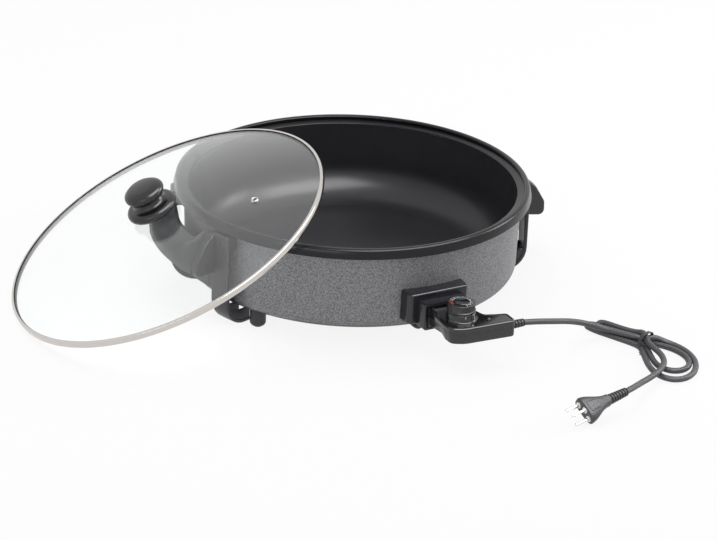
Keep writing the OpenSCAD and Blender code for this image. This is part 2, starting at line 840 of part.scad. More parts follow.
module housing_screws()
    color("silver")
        for (p = screw_spots)
            translate([p.x, p.y, 0]) {
                translate([0, 0, case_low + 2.4])
                    cylinder(r = case_screw_r,
                             h = case_top - shell_t - 1.6 - case_low - 2.4);
                difference() {
                    translate([0, 0, case_low + 0.6])
                        cylinder(r = 2.5, h = 1.8);
                    translate([-3, -0.4, case_low])
                        cube([6, 0.8, 1.2]);
                }
            }

// --- Heat control: inside ----------------------------------------------------
carrier_front = case_back + shell_t;
carrier_back = carrier_front + 13;
frame_back = carrier_back + 37;
probe_l = carrier_back - probe_tip - 0.3;
module contact_carrier()
    color("saddlebrown")
        difference() {
            translate([socket_x - 18, -carrier_back, case_low + shell_t])
                cube([36, carrier_back - carrier_front,
                      pin_z + 6 - case_low - shell_t]);
            for (x = [-pin_x, pin_x])
                tube_y(sleeve_out_r + seat_gap, carrier_front - 1,
                       carrier_back + 1, x);
            tube_y(probe_r + seat_gap, carrier_front - 1, carrier_back + 1);
        }
module contact_sleeves()
    color("goldenrod")
        for (x = [-pin_x, pin_x])
            difference() {
                tube_y(sleeve_out_r, case_back + 0.4, carrier_back + 6, x);
                tube_y(pin_r + run_gap, case_back - 1, carrier_back + 3, x);
            }
module probe_tube()
    color("gainsboro")
        translate([socket_x, -probe_tip - 0.3, pin_z])
            rotate([90, 0, 0])
                rotate_extrude($fn = 48)
                    polygon([[0, 0], [probe_r - 1, 0], [probe_r, 1.7],
                             [probe_r, probe_l], [5, probe_l],
                             [5, probe_l + 2], [0, probe_l + 2]]);
module thermostat_frame()
    color("silver") {
        translate([dial_x - 10, -frame_back, case_low + shell_t])
            cube([20, frame_back - carrier_back - 3, 1.2]);
        translate([dial_x - 10, -frame_back, case_low + shell_t])
            cube([20, 1.2, 12]);
    }
module bimetal_strip()
    color("peru")
        translate([dial_x - 4, -frame_back + 1.2, pin_z + 1])
            cube([8, frame_back - carrier_back - 4, 1]);
relief_in = arm_reach - 13.5;
module lead_run(pts)
    cord_tube([for (p = pts) [p.x, p.y, pin_z]], 2.4, 8);
module wire_leads()
    color("tan") {
        lead_run([[socket_x + pin_x, -carrier_back - 6],
                  [socket_x + pin_x, -dial_y + 4], [24, -outlet_y + 6],
                  [relief_in - 5, -outlet_y + 2], [relief_in, -outlet_y + 2]]);
        lead_run([[socket_x - pin_x, -carrier_back - 6],
                  [socket_x - pin_x, -dial_y - 4], [-8, -outlet_y + 2],
                  [relief_in - 5, -outlet_y - 2], [relief_in, -outlet_y - 2]]);
    }
module pilot_lamp()
    color([0.75, 0.2, 0.15])
        translate([lamp_at.x, lamp_at.y, 0]) {
            translate([0, 0, case_top - shell_t - 1.2])
                cylinder(r = lamp_r + 1.1, h = 1.2);
            translate([0, 0, case_top - shell_t])
                cylinder(r = lamp_r, h = shell_t + 0.6);
            intersection() {
                translate([0, 0, case_top - 1.4])
                    sphere(r = lamp_r + 0.6, $fn = 48);
                translate([0, 0, case_top + 0.6])
                    cylinder(r = lamp_r, h = 3);
            }
        }
module index_mark()
    color("white")
        translate([dial_x - 0.8, -dial_y - dial_r - 2.4,
                   case_top + turret_h - 3.2])
            cube([1.6, 0.4, 3]);

// --- Dial ----------------------------------------------------------------------
dial_low = case_top + turret_h + 0.3;
cap_r = 9.5;
module dial_shaft()
    color("silver")
        translate([dial_x, -dial_y, pin_z + 2.4])
            cylinder(r = shaft_r, h = dial_top - 3 - pin_z - 2.4);
module temperature_dial()
    color([0.09, 0.09, 0.1])
        translate([dial_x, -dial_y, 0])
            difference() {
                union() {
                    translate([0, 0, dial_low])
                        cylinder(r = dial_r + 1.2, h = 2);
                    translate([0, 0, dial_low])
                        cylinder(r = dial_r, h = dial_top - dial_low);
                }
                translate([0, 0, dial_low - 1])
                    difference() {
                        cylinder(r = dial_r - 2.5, h = dial_top - dial_low - 2.5);
                        cylinder(r = shaft_r + 3, h = 30);
                    }
                cylinder(r = shaft_r + seat_gap, h = dial_top - 3);
                translate([0, 0, dial_top - 1.5])
                    cylinder(r = cap_r + seat_gap, h = 3);
                for (a = [0:15:345])
                    rotate([0, 0, a])
                        translate([dial_r + 0.5, 0, dial_low + 2.6])
                            cylinder(r = 1, h = dial_top, $fn = 16);
            }
module dial_scale()
    color("white")
        translate([dial_x, -dial_y, dial_top])
            difference() {
                cylinder(r = dial_r - 1, h = 0.5);
                translate([0, 0, -1])
                    cylinder(r = cap_r + 0.9, h = 3);
            }
module dial_cap()
    color([0.15, 0.15, 0.16])
        translate([dial_x, -dial_y, dial_top - 1.5])
            cylinder(r = cap_r, h = 2.4);

// --- Cord ----------------------------------------------------------------------
// The cord leaves the arm, falls to the table, lies folded in a tied hank, and
// ends in the plug. The points are its centreline.
plug_dir = 190;
plug_roll = -34;
plug_pitch_down = 6;
plug_relief_l = 27;
plug_at = [47.5, -448.9, -4.95];   // middle of the plug's face
plug_back = -(plug_l + plug_relief_l);
cord_end = plug_at + plug_back * [cos(plug_pitch_down) * cos(plug_dir),
                                  cos(plug_pitch_down) * sin(plug_dir),
                                  -sin(plug_pitch_down)];
lead_route = [[arm_reach + relief_l, -outlet_y, outlet_z], [82, -283, 25.3],
              [95.5, -285.5, 24], [111.7, -283.7, 20], [129.7, -277.1, 14],
              [148, -270.6, 7], [164.8, -266.4, 0], [178.3, -267.6, -6],
              [189.3, -272.5, -9.5]];
tail_route = [[194, -387, -9.2], [186, -392, -9.2], [178.3, -396.5, -9.5],
              [166.5, -401.5, -9.8], [156.2, -406.3, -9.2], [145, -413.3, -6.8],
              [134.5, -421.5, -3.8], [125.3, -429.3, -0.6], [116.5, -435.4, 1.8],
              cord_end];

// A round tube along a route, as one closed solid
module cord_tube(route, d = cord_d, sides = 10) {
    n = len(route);
    rings = [for (i = [0:n - 1])
        let (t = unit(route[min(i + 1, n - 1)] - route[max(i - 1, 0)]),
             s = unit(cross_of(t, [0, 0, 1])), u = cross_of(s, t))
        for (k = [0:sides - 1])
            let (a = 360 * k / sides)
            route[i] + d / 2 * (cos(a) * s + sin(a) * u)];
    faces = concat(
        [[for (k = [sides - 1:-1:0]) k]],
        [[for (k = [0:sides - 1]) (n - 1) * sides + k]],
        [for (i = [0:n - 2], k = [0:sides - 1])
            let (m = (k + 1) % sides)
            [i * sides + k, i * sides + m,
             (i + 1) * sides + m, (i + 1) * sides + k]]);
    polyhedron(rings, faces);
}
function cross_of(a, b) = [a.y * b.z - a.z * b.y, a.z * b.x - a.x * b.z,
                           a.x * b.y - a.y * b.x];
fold_end = [189, -247];
tie_at = [219, -314];
loop_near = [222, -347];
loop_far = [212, -380];
hank_h = cord_d + 0.5;
hank_top = table_z + hank_h;
fold_r = 17;
waist_r = 18;
loop_r = 31;
fold_dir = atan2(fold_end.y - tie_at.y, fold_end.x - tie_at.x);
loop_dir = atan2(loop_far.y - loop_near.y, loop_far.x - loop_near.x);
// Outline of the hank: round its folds, in at the tie and round its loops
hank_outline = concat(
    arc(fold_end, fold_r, fold_dir - 90, fold_dir + 90, 12),
    [tie_at + waist_r * [cos(fold_dir + 90), sin(fold_dir + 90)]],
    arc(loop_near, loop_r, 125, loop_dir + 270, 4),
    arc(loop_far, loop_r, loop_dir + 275, loop_dir + 445, 14),
    arc(loop_near, loop_r, loop_dir + 90, 55, 5),
    [tie_at + waist_r * [cos(loop_dir + 90), sin(loop_dir + 90)]]);
module cord_lead()
    color([0.25, 0.25, 0.26])
        cord_tube(lead_route);
module cord_hank()
    color([0.25, 0.25, 0.26])
        translate([0, 0, table_z])
            linear_extrude(hank_h)
                polygon(hank_outline);
module cord_tie()
    color([0.2, 0.2, 0.21])
        translate([tie_at.x, tie_at.y, hank_top])
            rotate([0, 0, 24])
                translate([-18, -4, 0])
                    cube([36, 8, 4]);
module cord_tail()
    color([0.25, 0.25, 0.26])
        cord_tube(tail_route);

relief_r = cord_d / 2 + 1.6;
module ribbed_relief(length, r_thick, r_thin, ribs) {
    pitch = length / ribs;
    rotate_extrude($fn = 48)
        polygon(concat(
            [[0, 0]],
            [for (i = [0:ribs - 1])
                let (r = r_thick + (r_thin - r_thick) * i / ribs)
                each [[r, i * pitch], [r, (i + 0.62) * pitch],
                      [r - 0.9, (i + 0.66) * pitch],
                      [r - 0.9, (i + 0.96) * pitch]]],
            [[r_thin, length - 0.1], [r_thin, length], [0, length]]));
}
module cord_relief()
    color([0.13, 0.13, 0.14])
        translate([0, -outlet_y, outlet_z])
            rotate([0, 90, 0]) {
                translate([0, 0, relief_in])
                    cylinder(r = cord_d / 2 + 0.7, h = 13.5);
                translate([0, 0, arm_reach - shell_t - 3])
                    cylinder(r = cord_d / 2 + 3.2, h = 3);
                translate([0, 0, arm_reach - shell_t - 1])
                    cylinder(r = cord_d / 2 + 1.68, h = shell_t + 1);
                translate([0, 0, arm_reach])
                    ribbed_relief(relief_l, relief_r, relief_r - 0.6, 4);
            }

// --- Mains plug ------------------------------------------------------------------
// The plug lies on the edge of its face, rolled towards the front.
module plug_pose() {
    translate(plug_at)
        rotate([plug_roll, plug_pitch_down, plug_dir])
            children();
}
module plug_relief()
    color([0.13, 0.13, 0.14])
        plug_pose()
            translate([-plug_l, 0, 0])
                rotate([0, -90, 0])
                    ribbed_relief(plug_relief_l, relief_r + 1, relief_r - 0.2, 7);
plug_outline = [[-plug_l, -relief_r - 1.2], [-plug_l * 0.62, -relief_r - 1.8],
                [-plug_l * 0.3, -plug_w / 2 + 3], [-4, -plug_w / 2],
                [0, -plug_w / 2 + 1], [0, plug_w / 2 - 1], [-4, plug_w / 2],
                [-plug_l * 0.3, plug_w / 2 - 3],
                [-plug_l * 0.62, relief_r + 1.8], [-plug_l, relief_r + 1.2]];
plug_side = [[-plug_l, -relief_r - 1], [-plug_l * 0.4, -plug_t / 2 + 1],
             [-2, -plug_t / 2], [0, -plug_t / 2 + 1.5], [0, plug_t / 2 - 1.5],
             [-2, plug_t / 2], [-plug_l * 0.4, plug_t / 2 - 1],
             [-plug_l, relief_r + 1]];
module plug_body()
    color([0.13, 0.13, 0.14])
        plug_pose()
            intersection() {
                translate([0, 0, -plug_t])
                    linear_extrude(2 * plug_t)
                        polygon(plug_outline);
                translate([0, plug_w, 0])
                    rotate([90, 0, 0])
                        linear_extrude(2 * plug_w)
                            polygon(plug_side);
            }
module plug_pins()
    color("gainsboro")
        plug_pose()
            for (p = [[-plug_pitch / 2, -1.5], [0, 2.5], [plug_pitch / 2, -1.5]])
                translate([0, p.x, p.y])
                    rotate([0, 90, 0]) {
                        cylinder(r = plug_pin_r, h = plug_pin_l - 1);
                        translate([0, 0, plug_pin_l - 1])
                            cylinder(r1 = plug_pin_r, r2 = plug_pin_r - 0.8,
                                     h = 1, $fn = 48);
                    }

pan_body();
heating_element();
terminal_pins();
pin_insulators();
probe_well();
terminal_guard();
guard_sleeve();
guard_bracket();
guard_screws();
earth_contact();
left_handle();
right_handle();
handle_studs();
handle_screws();
foot_posts();
foot_studs();
foot_pads();
lid_glass();
lid_rim();
vent_eyelet();
knob_washer();
knob_base();
knob_cap();
knob_screw();
controller_lower();
controller_upper();
housing_screws();
contact_carrier();
contact_sleeves();
probe_tube();
thermostat_frame();
bimetal_strip();
wire_leads();
pilot_lamp();
index_mark();
cord_relief();
cord_lead();
cord_hank();
cord_tie();
cord_tail();
plug_relief();
plug_body();
plug_pins();
dial_shaft();
temperature_dial();
dial_scale();
dial_cap();
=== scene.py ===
"""Round electric skillet: its looks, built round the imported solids, in metres."""

import bmesh
import bpy
import numpy as np
from mathutils import Matrix


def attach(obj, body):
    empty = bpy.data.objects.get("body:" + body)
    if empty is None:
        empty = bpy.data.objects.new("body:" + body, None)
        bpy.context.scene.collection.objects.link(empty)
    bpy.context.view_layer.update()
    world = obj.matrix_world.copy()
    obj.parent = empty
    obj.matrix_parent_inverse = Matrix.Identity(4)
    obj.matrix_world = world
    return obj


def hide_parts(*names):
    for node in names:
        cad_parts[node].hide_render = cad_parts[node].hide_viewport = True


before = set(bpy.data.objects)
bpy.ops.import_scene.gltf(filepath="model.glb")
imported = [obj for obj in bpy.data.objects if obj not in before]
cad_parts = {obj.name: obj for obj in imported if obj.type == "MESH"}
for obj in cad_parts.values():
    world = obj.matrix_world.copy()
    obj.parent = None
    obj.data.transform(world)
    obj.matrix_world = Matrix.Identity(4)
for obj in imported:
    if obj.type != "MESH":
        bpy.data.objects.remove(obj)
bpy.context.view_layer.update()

# --- Studio -------------------------------------------------------------------
# White paper under the skillet, a wide soft box overhead, a panel at the right, a
# broad panel in front that shows only as a gloss on edges, a low strip at the
# left, and a long lens from the front left.
scene = bpy.context.scene
scene.view_settings.view_transform = "Standard"

camera = bpy.data.objects.new("camera", bpy.data.cameras.new("camera"))
scene.collection.objects.link(camera)
camera.data.sensor_fit = "HORIZONTAL"
camera.data.sensor_width = 36
camera.data.lens = 150.84
camera.data.clip_end = 50
camera.matrix_world = Matrix((
    (0.87772, 0.16827, -0.44866, -1.61248),
    (-0.47782, 0.37794, -0.79301, -2.87000),
    (0.03612, 0.91041, 0.41212, 1.47665),
    (0, 0, 0, 1)))
scene.camera = camera


def wire(tree, *links):
    """Links node sockets, each given as (from node, output, to node, input)."""
    for a, out, b, into in links:
        tree.links.new(a.outputs[out], b.inputs[into])


def seen_directly(tree):
    """A socket that is 1 for camera, mirror and glass rays and 0 for light."""
    path = tree.nodes.new("ShaderNodeLightPath")
    most = path.outputs["Is Camera Ray"]
    for name in ("Is Glossy Ray", "Is Transmission Ray"):
        larger = tree.nodes.new("ShaderNodeMath")
        larger.operation = "MAXIMUM"
        tree.links.new(most, larger.inputs[0])
        tree.links.new(path.outputs[name], larger.inputs[1])
        most = larger.outputs[0]
    return most


world = bpy.data.worlds.new("studio")
scene.world = world
world.use_nodes = True
sky = world.node_tree
lit, shown = sky.nodes["Background"], sky.nodes.new("ShaderNodeBackground")
lit.inputs["Strength"].default_value = 0.62
shown.inputs["Strength"].default_value = 1.0
for node in (lit, shown):
    node.inputs["Color"].default_value = (1, 1, 1, 1)
either = sky.nodes.new("ShaderNodeMixShader")
sky.links.new(seen_directly(sky), either.inputs[0])
wire(sky, (lit, 0, either, 1), (shown, 0, either, 2),
     (either, 0, sky.nodes["World Output"], 0))

for name, place, aim, size, power, mirrored, lights in (
        ("overhead", (-0.3, 0.5, 2.2), (0, 0, 0.05), (1.6, 1.1), 17, False, True),
        ("right_panel", (2.0, -0.5, 0.8), (0.1, -0.1, 0.05), (0.9, 1.0), 19, True,
         True),
        ("front_panel", (0.2, -0.8, 1.3), (0, -0.2, 0.03), (1.9, 0.95), 42, True,
         False),
        ("low_strip", (-1.95, -1.55, 0.42), (0, 0.1, 0.03), (1.7, 0.1), 5, True,
         True)):
    lamp = bpy.data.objects.new(name, bpy.data.lights.new(name, "AREA"))
    scene.collection.objects.link(lamp)
    lamp.data.shape = "RECTANGLE"
    lamp.data.size, lamp.data.size_y = size
    lamp.data.energy = power
    lamp.visible_glossy = lamp.visible_transmission = mirrored
    lamp.visible_diffuse = lights
    away = Matrix.Translation(place).translation - Matrix.Translation(aim).translation
    lamp.location = place
    lamp.rotation_euler = away.to_track_quat("Z", "Y").to_euler()

TABLE_Z = -20.0   # mm; the underside of the pan is at 0
paper = bpy.data.materials.new("white_paper")
paper.use_nodes = True
sheet = paper.node_tree
surface = sheet.nodes["Principled BSDF"]
surface.inputs["Base Color"].default_value = (0.9, 0.9, 0.9, 1)
surface.inputs["Roughness"].default_value = 0.9
surface.inputs["Specular IOR Level"].default_value = 0.1
glow = sheet.nodes.new("ShaderNodeEmission")
share = sheet.nodes.new("ShaderNodeMath")
share.operation = "MULTIPLY"
share.inputs[1].default_value = 0.88
blended = sheet.nodes.new("ShaderNodeMixShader")
sheet.links.new(seen_directly(sheet), share.inputs[0])
wire(sheet, (share, 0, blended, 0), (surface, 0, blended, 1),
     (glow, 0, blended, 2), (blended, 0, sheet.nodes["Material Output"], 0))
floor_mesh = bpy.data.meshes.new("paper")
paper_half = 12.0   # m
floor_mesh.from_pydata([(-paper_half, -paper_half, 0), (paper_half, -paper_half, 0),
                        (paper_half, paper_half, 0), (-paper_half, paper_half, 0)],
                       [], [(0, 1, 2, 3)])
paper_floor = bpy.data.objects.new("paper", floor_mesh)
paper_floor.location.z = TABLE_Z / 1000 - 0.0001
floor_mesh.materials.append(paper)
scene.collection.objects.link(paper_floor)

# --- Cord ---------------------------------------------------------------------
# Three-core mains cord in a dark grey rubber sheath, 7 mm thick. It leaves the
# control, is folded twice into a bundle and wound in two loops and a small one,
# tied where it crosses itself, and ends in its plug.
MM = 0.001
cord_d = 7.0
cord_exit = np.array([71.0, -280.0, 25.0])

plug_dir, plug_roll, plug_drop = np.radians((190.0, -34.0, 6.0))
plug_l, plug_relief_l = 35.0, 27.0
plug_at = np.array([47.5, -448.9, -4.95])   # middle of the plug's face


def turned(x, y, z):
    """Rotation about X, then Y, then Z, by angles in radians."""
    cx, sx, cy, sy, cz, sz = (f(a) for a in (x, y, z) for f in (np.cos, np.sin))
    return (np.array([[cz, -sz, 0], [sz, cz, 0], [0, 0, 1]])
            @ np.array([[cy, 0, sy], [0, 1, 0], [-sy, 0, cy]])
            @ np.array([[1, 0, 0], [0, cx, -sx], [0, sx, cx]]))


plug_turn = turned(plug_roll, plug_drop, plug_dir)
cord_end = plug_at + plug_turn @ np.array([-plug_l - plug_relief_l, 0, 0])
low, high = TABLE_Z + cord_d / 2, TABLE_Z + cord_d * 1.5   # first and second layer
tie_at = np.array([219.0, -314.0])
bundle_dir = np.radians(114.13)
along = np.array([np.cos(bundle_dir), np.sin(bundle_dir)])
across = np.array([along[1], -along[0]])


def in_bundle(*points):
    """Points of the bundle, given as (distance from the tie along it, distance to
    the right of it, height)."""
    s, q, z = np.array(points, float).T
    return np.c_[tie_at + s[:, None] * along + q[:, None] * across, z]


route = np.concatenate([
    # out of the control, down to the table and along the bundle
    [cord_exit, (82, -283, 25.3), (95.5, -285.5, 24), (111.7, -283.7, 20),
     (129.7, -277.1, 14), (148, -270.6, 7), (164.8, -266.6, 0),
     (178.3, -267.2, -6)],
    in_bundle((49, -9.5, high), (36, -8, high), (22, -6.5, high), (9, -5, high)),
    # round the outer loop
    [(222.5, -314.5, -10.5), (234.5, -317, -13.5), (245.5, -325, low),
     (251, -339, low), (251, -360, low), (245, -379, low), (236, -393, low),
     (223, -405, low), (209, -411, low), (196, -409.5, low), (188, -401, low),
     (185, -389, low), (186, -376, low), (190, -362, low), (197, -346, low),
     (204, -331, low)],
    # up the bundle to the first fold and back
    in_bundle((0, -7.5, low), (14, -8.5, low), (30, -9, low), (46, -9, low),
              (62, -9, low), (75, -9, low), (83, -7.8, low), (87, -2, low),
              (83, 3.8, low), (75, 5, low), (60, 5, low), (44, 5, low),
              (28, 5, low), (13, 6, low), (0, 7, low)),
    # round the second loop
    [(233, -324, low), (241, -336, low), (244, -351, low), (243.5, -367, low),
     (238.5, -379.5, low), (229.5, -388.5, low), (218, -393, low),
     (207, -390.5, low), (199.5, -382, low), (197.5, -371, low), (200, -358, low),
     (206, -344, low), (211.5, -330, low)],
    # up the bundle to the second fold, which turns over itself, and back on top
    in_bundle((0, 0, low), (14, -1.5, low), (28, -2, low), (44, -2, low),
              (57, -3.4, low), (65, -5, low), (71, -2.6, -15.6), (73.5, 0.8, -13),
              (71, 4.2, -10.4), (65, 5.6, high), (57, 4.2, high), (44, 3, high),
              (28, 3, high),
              (14, 2.5, high), (0, 2, high)),
    # round the small loop and away to the plug
    [(213.5, -322, high), (212, -333, high), (213, -345, high),
     (212.5, -357, high), (208, -369, high), (201.5, -379.5, high),
     (194, -387, -9.2), (186, -392, -9.2), (178.3, -396.5, -9.5),
     (166.5, -401.5, -9.8), (156.2, -406.3, -9.2), (145, -413.3, -6.8),
     (134.5, -421.5, -3.8), (125.3, -429.3, -0.6), (116.5, -435.4, 1.8),
     cord_end]])


def smooth_line(points, step):
    """A cubic through the points, whose slope at each is that of the chord between
    its neighbours over their distance along the line, sampled every step."""
    gaps = np.linalg.norm(np.diff(points, axis=0), axis=1)
    at = np.concatenate([[0], np.cumsum(gaps)])
    slope = np.gradient(points, at, axis=0)
    s = np.linspace(0, at[-1], int(at[-1] / step) + 1)
    i = np.clip(np.searchsorted(at, s, side="right") - 1, 0, len(gaps) - 1)
    h = gaps[i][:, None]
    t = (s - at[i])[:, None] / h
    return ((2 * t**3 - 3 * t**2 + 1) * points[i] + (t**3 - 2 * t**2 + t) * h * slope[i]
            + (3 * t**2 - 2 * t**3) * points[i + 1] + (t**3 - t**2) * h * slope[i + 1])


def settled(line, rounds=240):
    """The line after its strands have pushed each other a diameter apart: each
    round evens the bends, draws back towards the first line, and parts what is
    too close, with both ends held and nothing under the table."""
    even, draw_back, part, clearance = 0.2, 0.02, 0.3, 0.1
    same_strand, held = 7, 12.0   # points along the line
    start, line = line.copy(), line.copy()
    index = np.arange(len(line))
    apart = np.abs(index[:, None] - index[None]) > same_strand
    free = np.clip(np.minimum(index, index[::-1]) / held, 0, 1)[:, None]
    for _ in range(rounds):
        move = np.zeros_like(line)
        move[1:-1] = even * (line[:-2] + line[2:] - 2 * line[1:-1])
        move += draw_back * (start - line)
        gap = line[:, None] - line[None]
        far_apart = np.linalg.norm(gap, axis=2) + 1e-9
        push = np.where(apart, np.clip(cord_d + clearance - far_apart, 0, None), 0)
        move += part * (gap * (push / far_apart)[:, :, None]).sum(1)
        line += free * move
        line[:, 2] = np.maximum(line[:, 2], low)
    return line


cord_line = settled(smooth_line(route, 3.2))

curve = bpy.data.curves.new("mains_cord", "CURVE")
curve.dimensions = "3D"
curve.bevel_depth = cord_d / 2 * MM
curve.bevel_resolution = 5
curve.use_fill_caps = True
strand = curve.splines.new("POLY")
strand.points.add(len(cord_line) - 1)
strand.points.foreach_set(
    "co", np.c_[cord_line * MM, np.ones(len(cord_line))].ravel())
mains_cord = bpy.data.objects.new("mains_cord", curve)
scene.collection.objects.link(mains_cord)


def finish(name, colour, rough, metallic=0.0, grain=1.0, bump=0.1, spread=0.12,
           stretch=(1, 1, 1), wear=0.06, specular=0.5, coat=0.0):
    """A material whose colour, gloss and bump follow two sizes of noise: grain
    is the finer one's size in mm, and wear is how far the gloss varies."""
    material = bpy.data.materials.new(name)
    material.use_nodes = True
    tree = material.node_tree
    shader = tree.nodes["Principled BSDF"]
    shader.inputs["Metallic"].default_value = metallic
    shader.inputs["Specular IOR Level"].default_value = specular
    shader.inputs["Coat Weight"].default_value = coat
    shader.inputs["Coat Roughness"].default_value = 0.08
    place, stretched = (tree.nodes.new("ShaderNodeTexCoord"),
                        tree.nodes.new("ShaderNodeMapping"))
    stretched.inputs["Scale"].default_value = stretch
    fine, broad = (tree.nodes.new("ShaderNodeTexNoise") for _ in range(2))
    fine.inputs["Scale"].default_value = 1000 / grain
    fine.inputs["Detail"].default_value = 4
    broad.inputs["Scale"].default_value = 45
    broad.inputs["Detail"].default_value = 5
    tone = tree.nodes.new("ShaderNodeMix")
    tone.data_type = "RGBA"
    tone.inputs["A"].default_value = (*(c * (1 - spread) for c in colour), 1)
    tone.inputs["B"].default_value = (*(min(1, c * (1 + spread)) for c in colour), 1)
    both = tree.nodes.new("ShaderNodeMath")
    both.operation = "MULTIPLY_ADD"
    both.inputs[1].default_value = 0.5
    gloss = tree.nodes.new("ShaderNodeMapRange")
    gloss.inputs["From Min"].default_value = 0.3
    gloss.inputs["From Max"].default_value = 0.7
    gloss.inputs["To Min"].default_value = max(0.02, rough - wear)
    gloss.inputs["To Max"].default_value = rough + wear
    relief = tree.nodes.new("ShaderNodeBump")
    relief.inputs["Strength"].default_value = bump
    relief.inputs["Distance"].default_value = 0.0002
    wire(tree, (place, "Object", stretched, 0), (stretched, 0, fine, "Vector"),
         (place, "Object", broad, "Vector"), (fine, 0, both, 0), (broad, 0, gloss, 0),
         (both, 0, tone, "Factor"), (tone, "Result", shader, "Base Color"),
         (gloss, 0, shader, "Roughness"), (fine, 0, relief, "Height"),
         (relief, 0, shader, "Normal"))
    half = tree.nodes.new("ShaderNodeMath")
    half.operation = "MULTIPLY"
    half.inputs[1].default_value = 0.5
    wire(tree, (broad, 0, half, 0), (half, 0, both, 2))
    return material


sheath = finish("rubber_sheath", (0.062, 0.062, 0.068), 0.52, grain=0.6, bump=0.25,
                spread=0.15)
curve.materials.append(sheath)
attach(mains_cord, "control")
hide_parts("cord_lead", "cord_hank", "cord_tail")


def skin(rings, ring_loop=False):
    """Points and faces of a surface through rings, an array of rings by points
    by 3: quads between neighbours, and a flat face over each end unless the
    rings themselves close into a loop."""
    m, n = rings.shape[:2]
    index = np.arange(m * n).reshape(m, n)
    beyond = np.roll(index, -1, axis=0)
    a, d = (index, beyond) if ring_loop else (index[:-1], beyond[:-1])
    quads = np.stack([a, np.roll(a, -1, 1), np.roll(d, -1, 1), d], -1).reshape(-1, 4)
    faces = quads.tolist()
    if not ring_loop:
        faces += [index[0][::-1].tolist(), index[-1].tolist()]
    return rings.reshape(-1, 3), faces


def piece(name, skins, materials, body, stands_for=(), sharp=38,
          second=None):
    """Makes one object of skins in mm, smooth up to the angle sharp, that rides
    on body. second(centres in mm) says which faces take the second material."""
    mesh = bpy.data.meshes.new(name)
    points, faces, start = [], [], 0
    for p, f in skins:
        points.append(p)
        faces += [[i + start for i in face] for face in f]
        start += len(p)
    mesh.from_pydata((np.concatenate(points) * MM).tolist(), [], faces)
    shape = bmesh.new()
    shape.from_mesh(mesh)
    bmesh.ops.recalc_face_normals(shape, faces=shape.faces)
    shape.to_mesh(mesh)
    shape.free()
    mesh.shade_smooth()
    mesh.set_sharp_from_angle(angle=np.radians(sharp))
    for material in materials:
        mesh.materials.append(material)
    if second is not None:
        centres = np.array([f.center for f in mesh.polygons]) / MM
        mesh.polygons.foreach_set("material_index",
                                  second(centres).astype(np.int32))
    made = bpy.data.objects.new(name, mesh)
    scene.collection.objects.link(made)
    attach(made, body)
    if stands_for:
        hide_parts(*stands_for)
    return made


def spin(profile, sides=96, ring_loop=False):
    """A profile of (radius, height) turned about Z: x and y are the radius times
    the cosine and sine of the turn. The profile closes with ring_loop, and
    otherwise its two ends get a flat face."""
    turn = np.linspace(0, 2 * np.pi, sides, endpoint=False)
    profile = np.asarray(profile, float)
    rings = np.stack([profile[:, :1] * np.cos(turn), profile[:, :1] * np.sin(turn),
                      profile[:, 1:] + 0 * turn], -1)
    return skin(rings, ring_loop)


def put(shape, turn=np.eye(3), at=(0, 0, 0)):
    """The same skin, turned and then moved."""
    return shape[0] @ np.asarray(turn).T + np.asarray(at, float), shape[1]


LIE_X = turned(0, np.pi / 2, 0)    # turns +Z to +X
LIE_BACK_X = turned(0, -np.pi / 2, 0)   # turns +Z to -X


def ribbed(length, thick, thin, ribs):
    """Profile of a strain relief: rings of full radius with grooves 0.9 mm deep
    between them, each flank eased, and the radius falling from thick to thin."""
    t = np.linspace(0, 1, ribs * 10 + 1)
    wave = (t * ribs) % 1.0
    depth = 0.9 / (1 + np.exp(-(wave - 0.64) * 26)) * (t < 0.999)
    radius = thick + (thin - thick) * t - depth
    return np.concatenate([[(0.2, 0)], np.c_[radius, t * length],
                           [(thin - 1.2, length + 0.01), (0.2, length + 0.01)]])


relief_rubber = finish("relief_rubber", (0.03, 0.03, 0.033), 0.45, grain=0.8)
relief_r = cord_d / 2 + 1.6
arm_reach, relief_l = 55.0, 16.0
piece(
    "control_relief",
    [put(spin(ribbed(relief_l, relief_r, relief_r - 0.6, 4), 48), LIE_X,
         (arm_reach, -280, 25)),
     put(spin([(0.2, 0), (cord_d / 2 + 0.7, 0), (cord_d / 2 + 0.7, 8.5),
               (cord_d / 2 + 3.2, 8.5), (cord_d / 2 + 3.2, 11.5),
               (cord_d / 2 + 1.5, 11.5), (cord_d / 2 + 1.5, 13.5), (0.2, 13.5)], 48),
         LIE_X, (arm_reach - 13.5, -280, 25))],
    [relief_rubber], "control", ["cord_relief"])
plug_relief = piece(
    "plug_strain_relief",
    [put(put(spin(ribbed(plug_relief_l, relief_r + 1, relief_r - 0.2, 7), 48),
             LIE_BACK_X, (-plug_l, 0, 0)), plug_turn, plug_at)],
    [relief_rubber], "control", ["plug_relief"])

# --- Tie ----------------------------------------------------------------------
# A flat black twist tie: a strip with a wire in it, bent round the five strands
# where they cross, its two ends twisted together and pressed down.
tie_mid = tie_at - 1.0 * along
near_tie = cord_line[(np.abs((cord_line[:, :2] - tie_mid) @ along) < 2)
                     & (np.abs((cord_line[:, :2] - tie_mid) @ across) < 13)]
sides_q = (near_tie[:, :2] - tie_mid) @ across
q_low, q_high = sides_q.min() - cord_d / 2 - 0.5, sides_q.max() + cord_d / 2 + 0.5
z_low, z_high = TABLE_Z + 0.7, near_tie[:, 2].max() + cord_d / 2 + 0.5


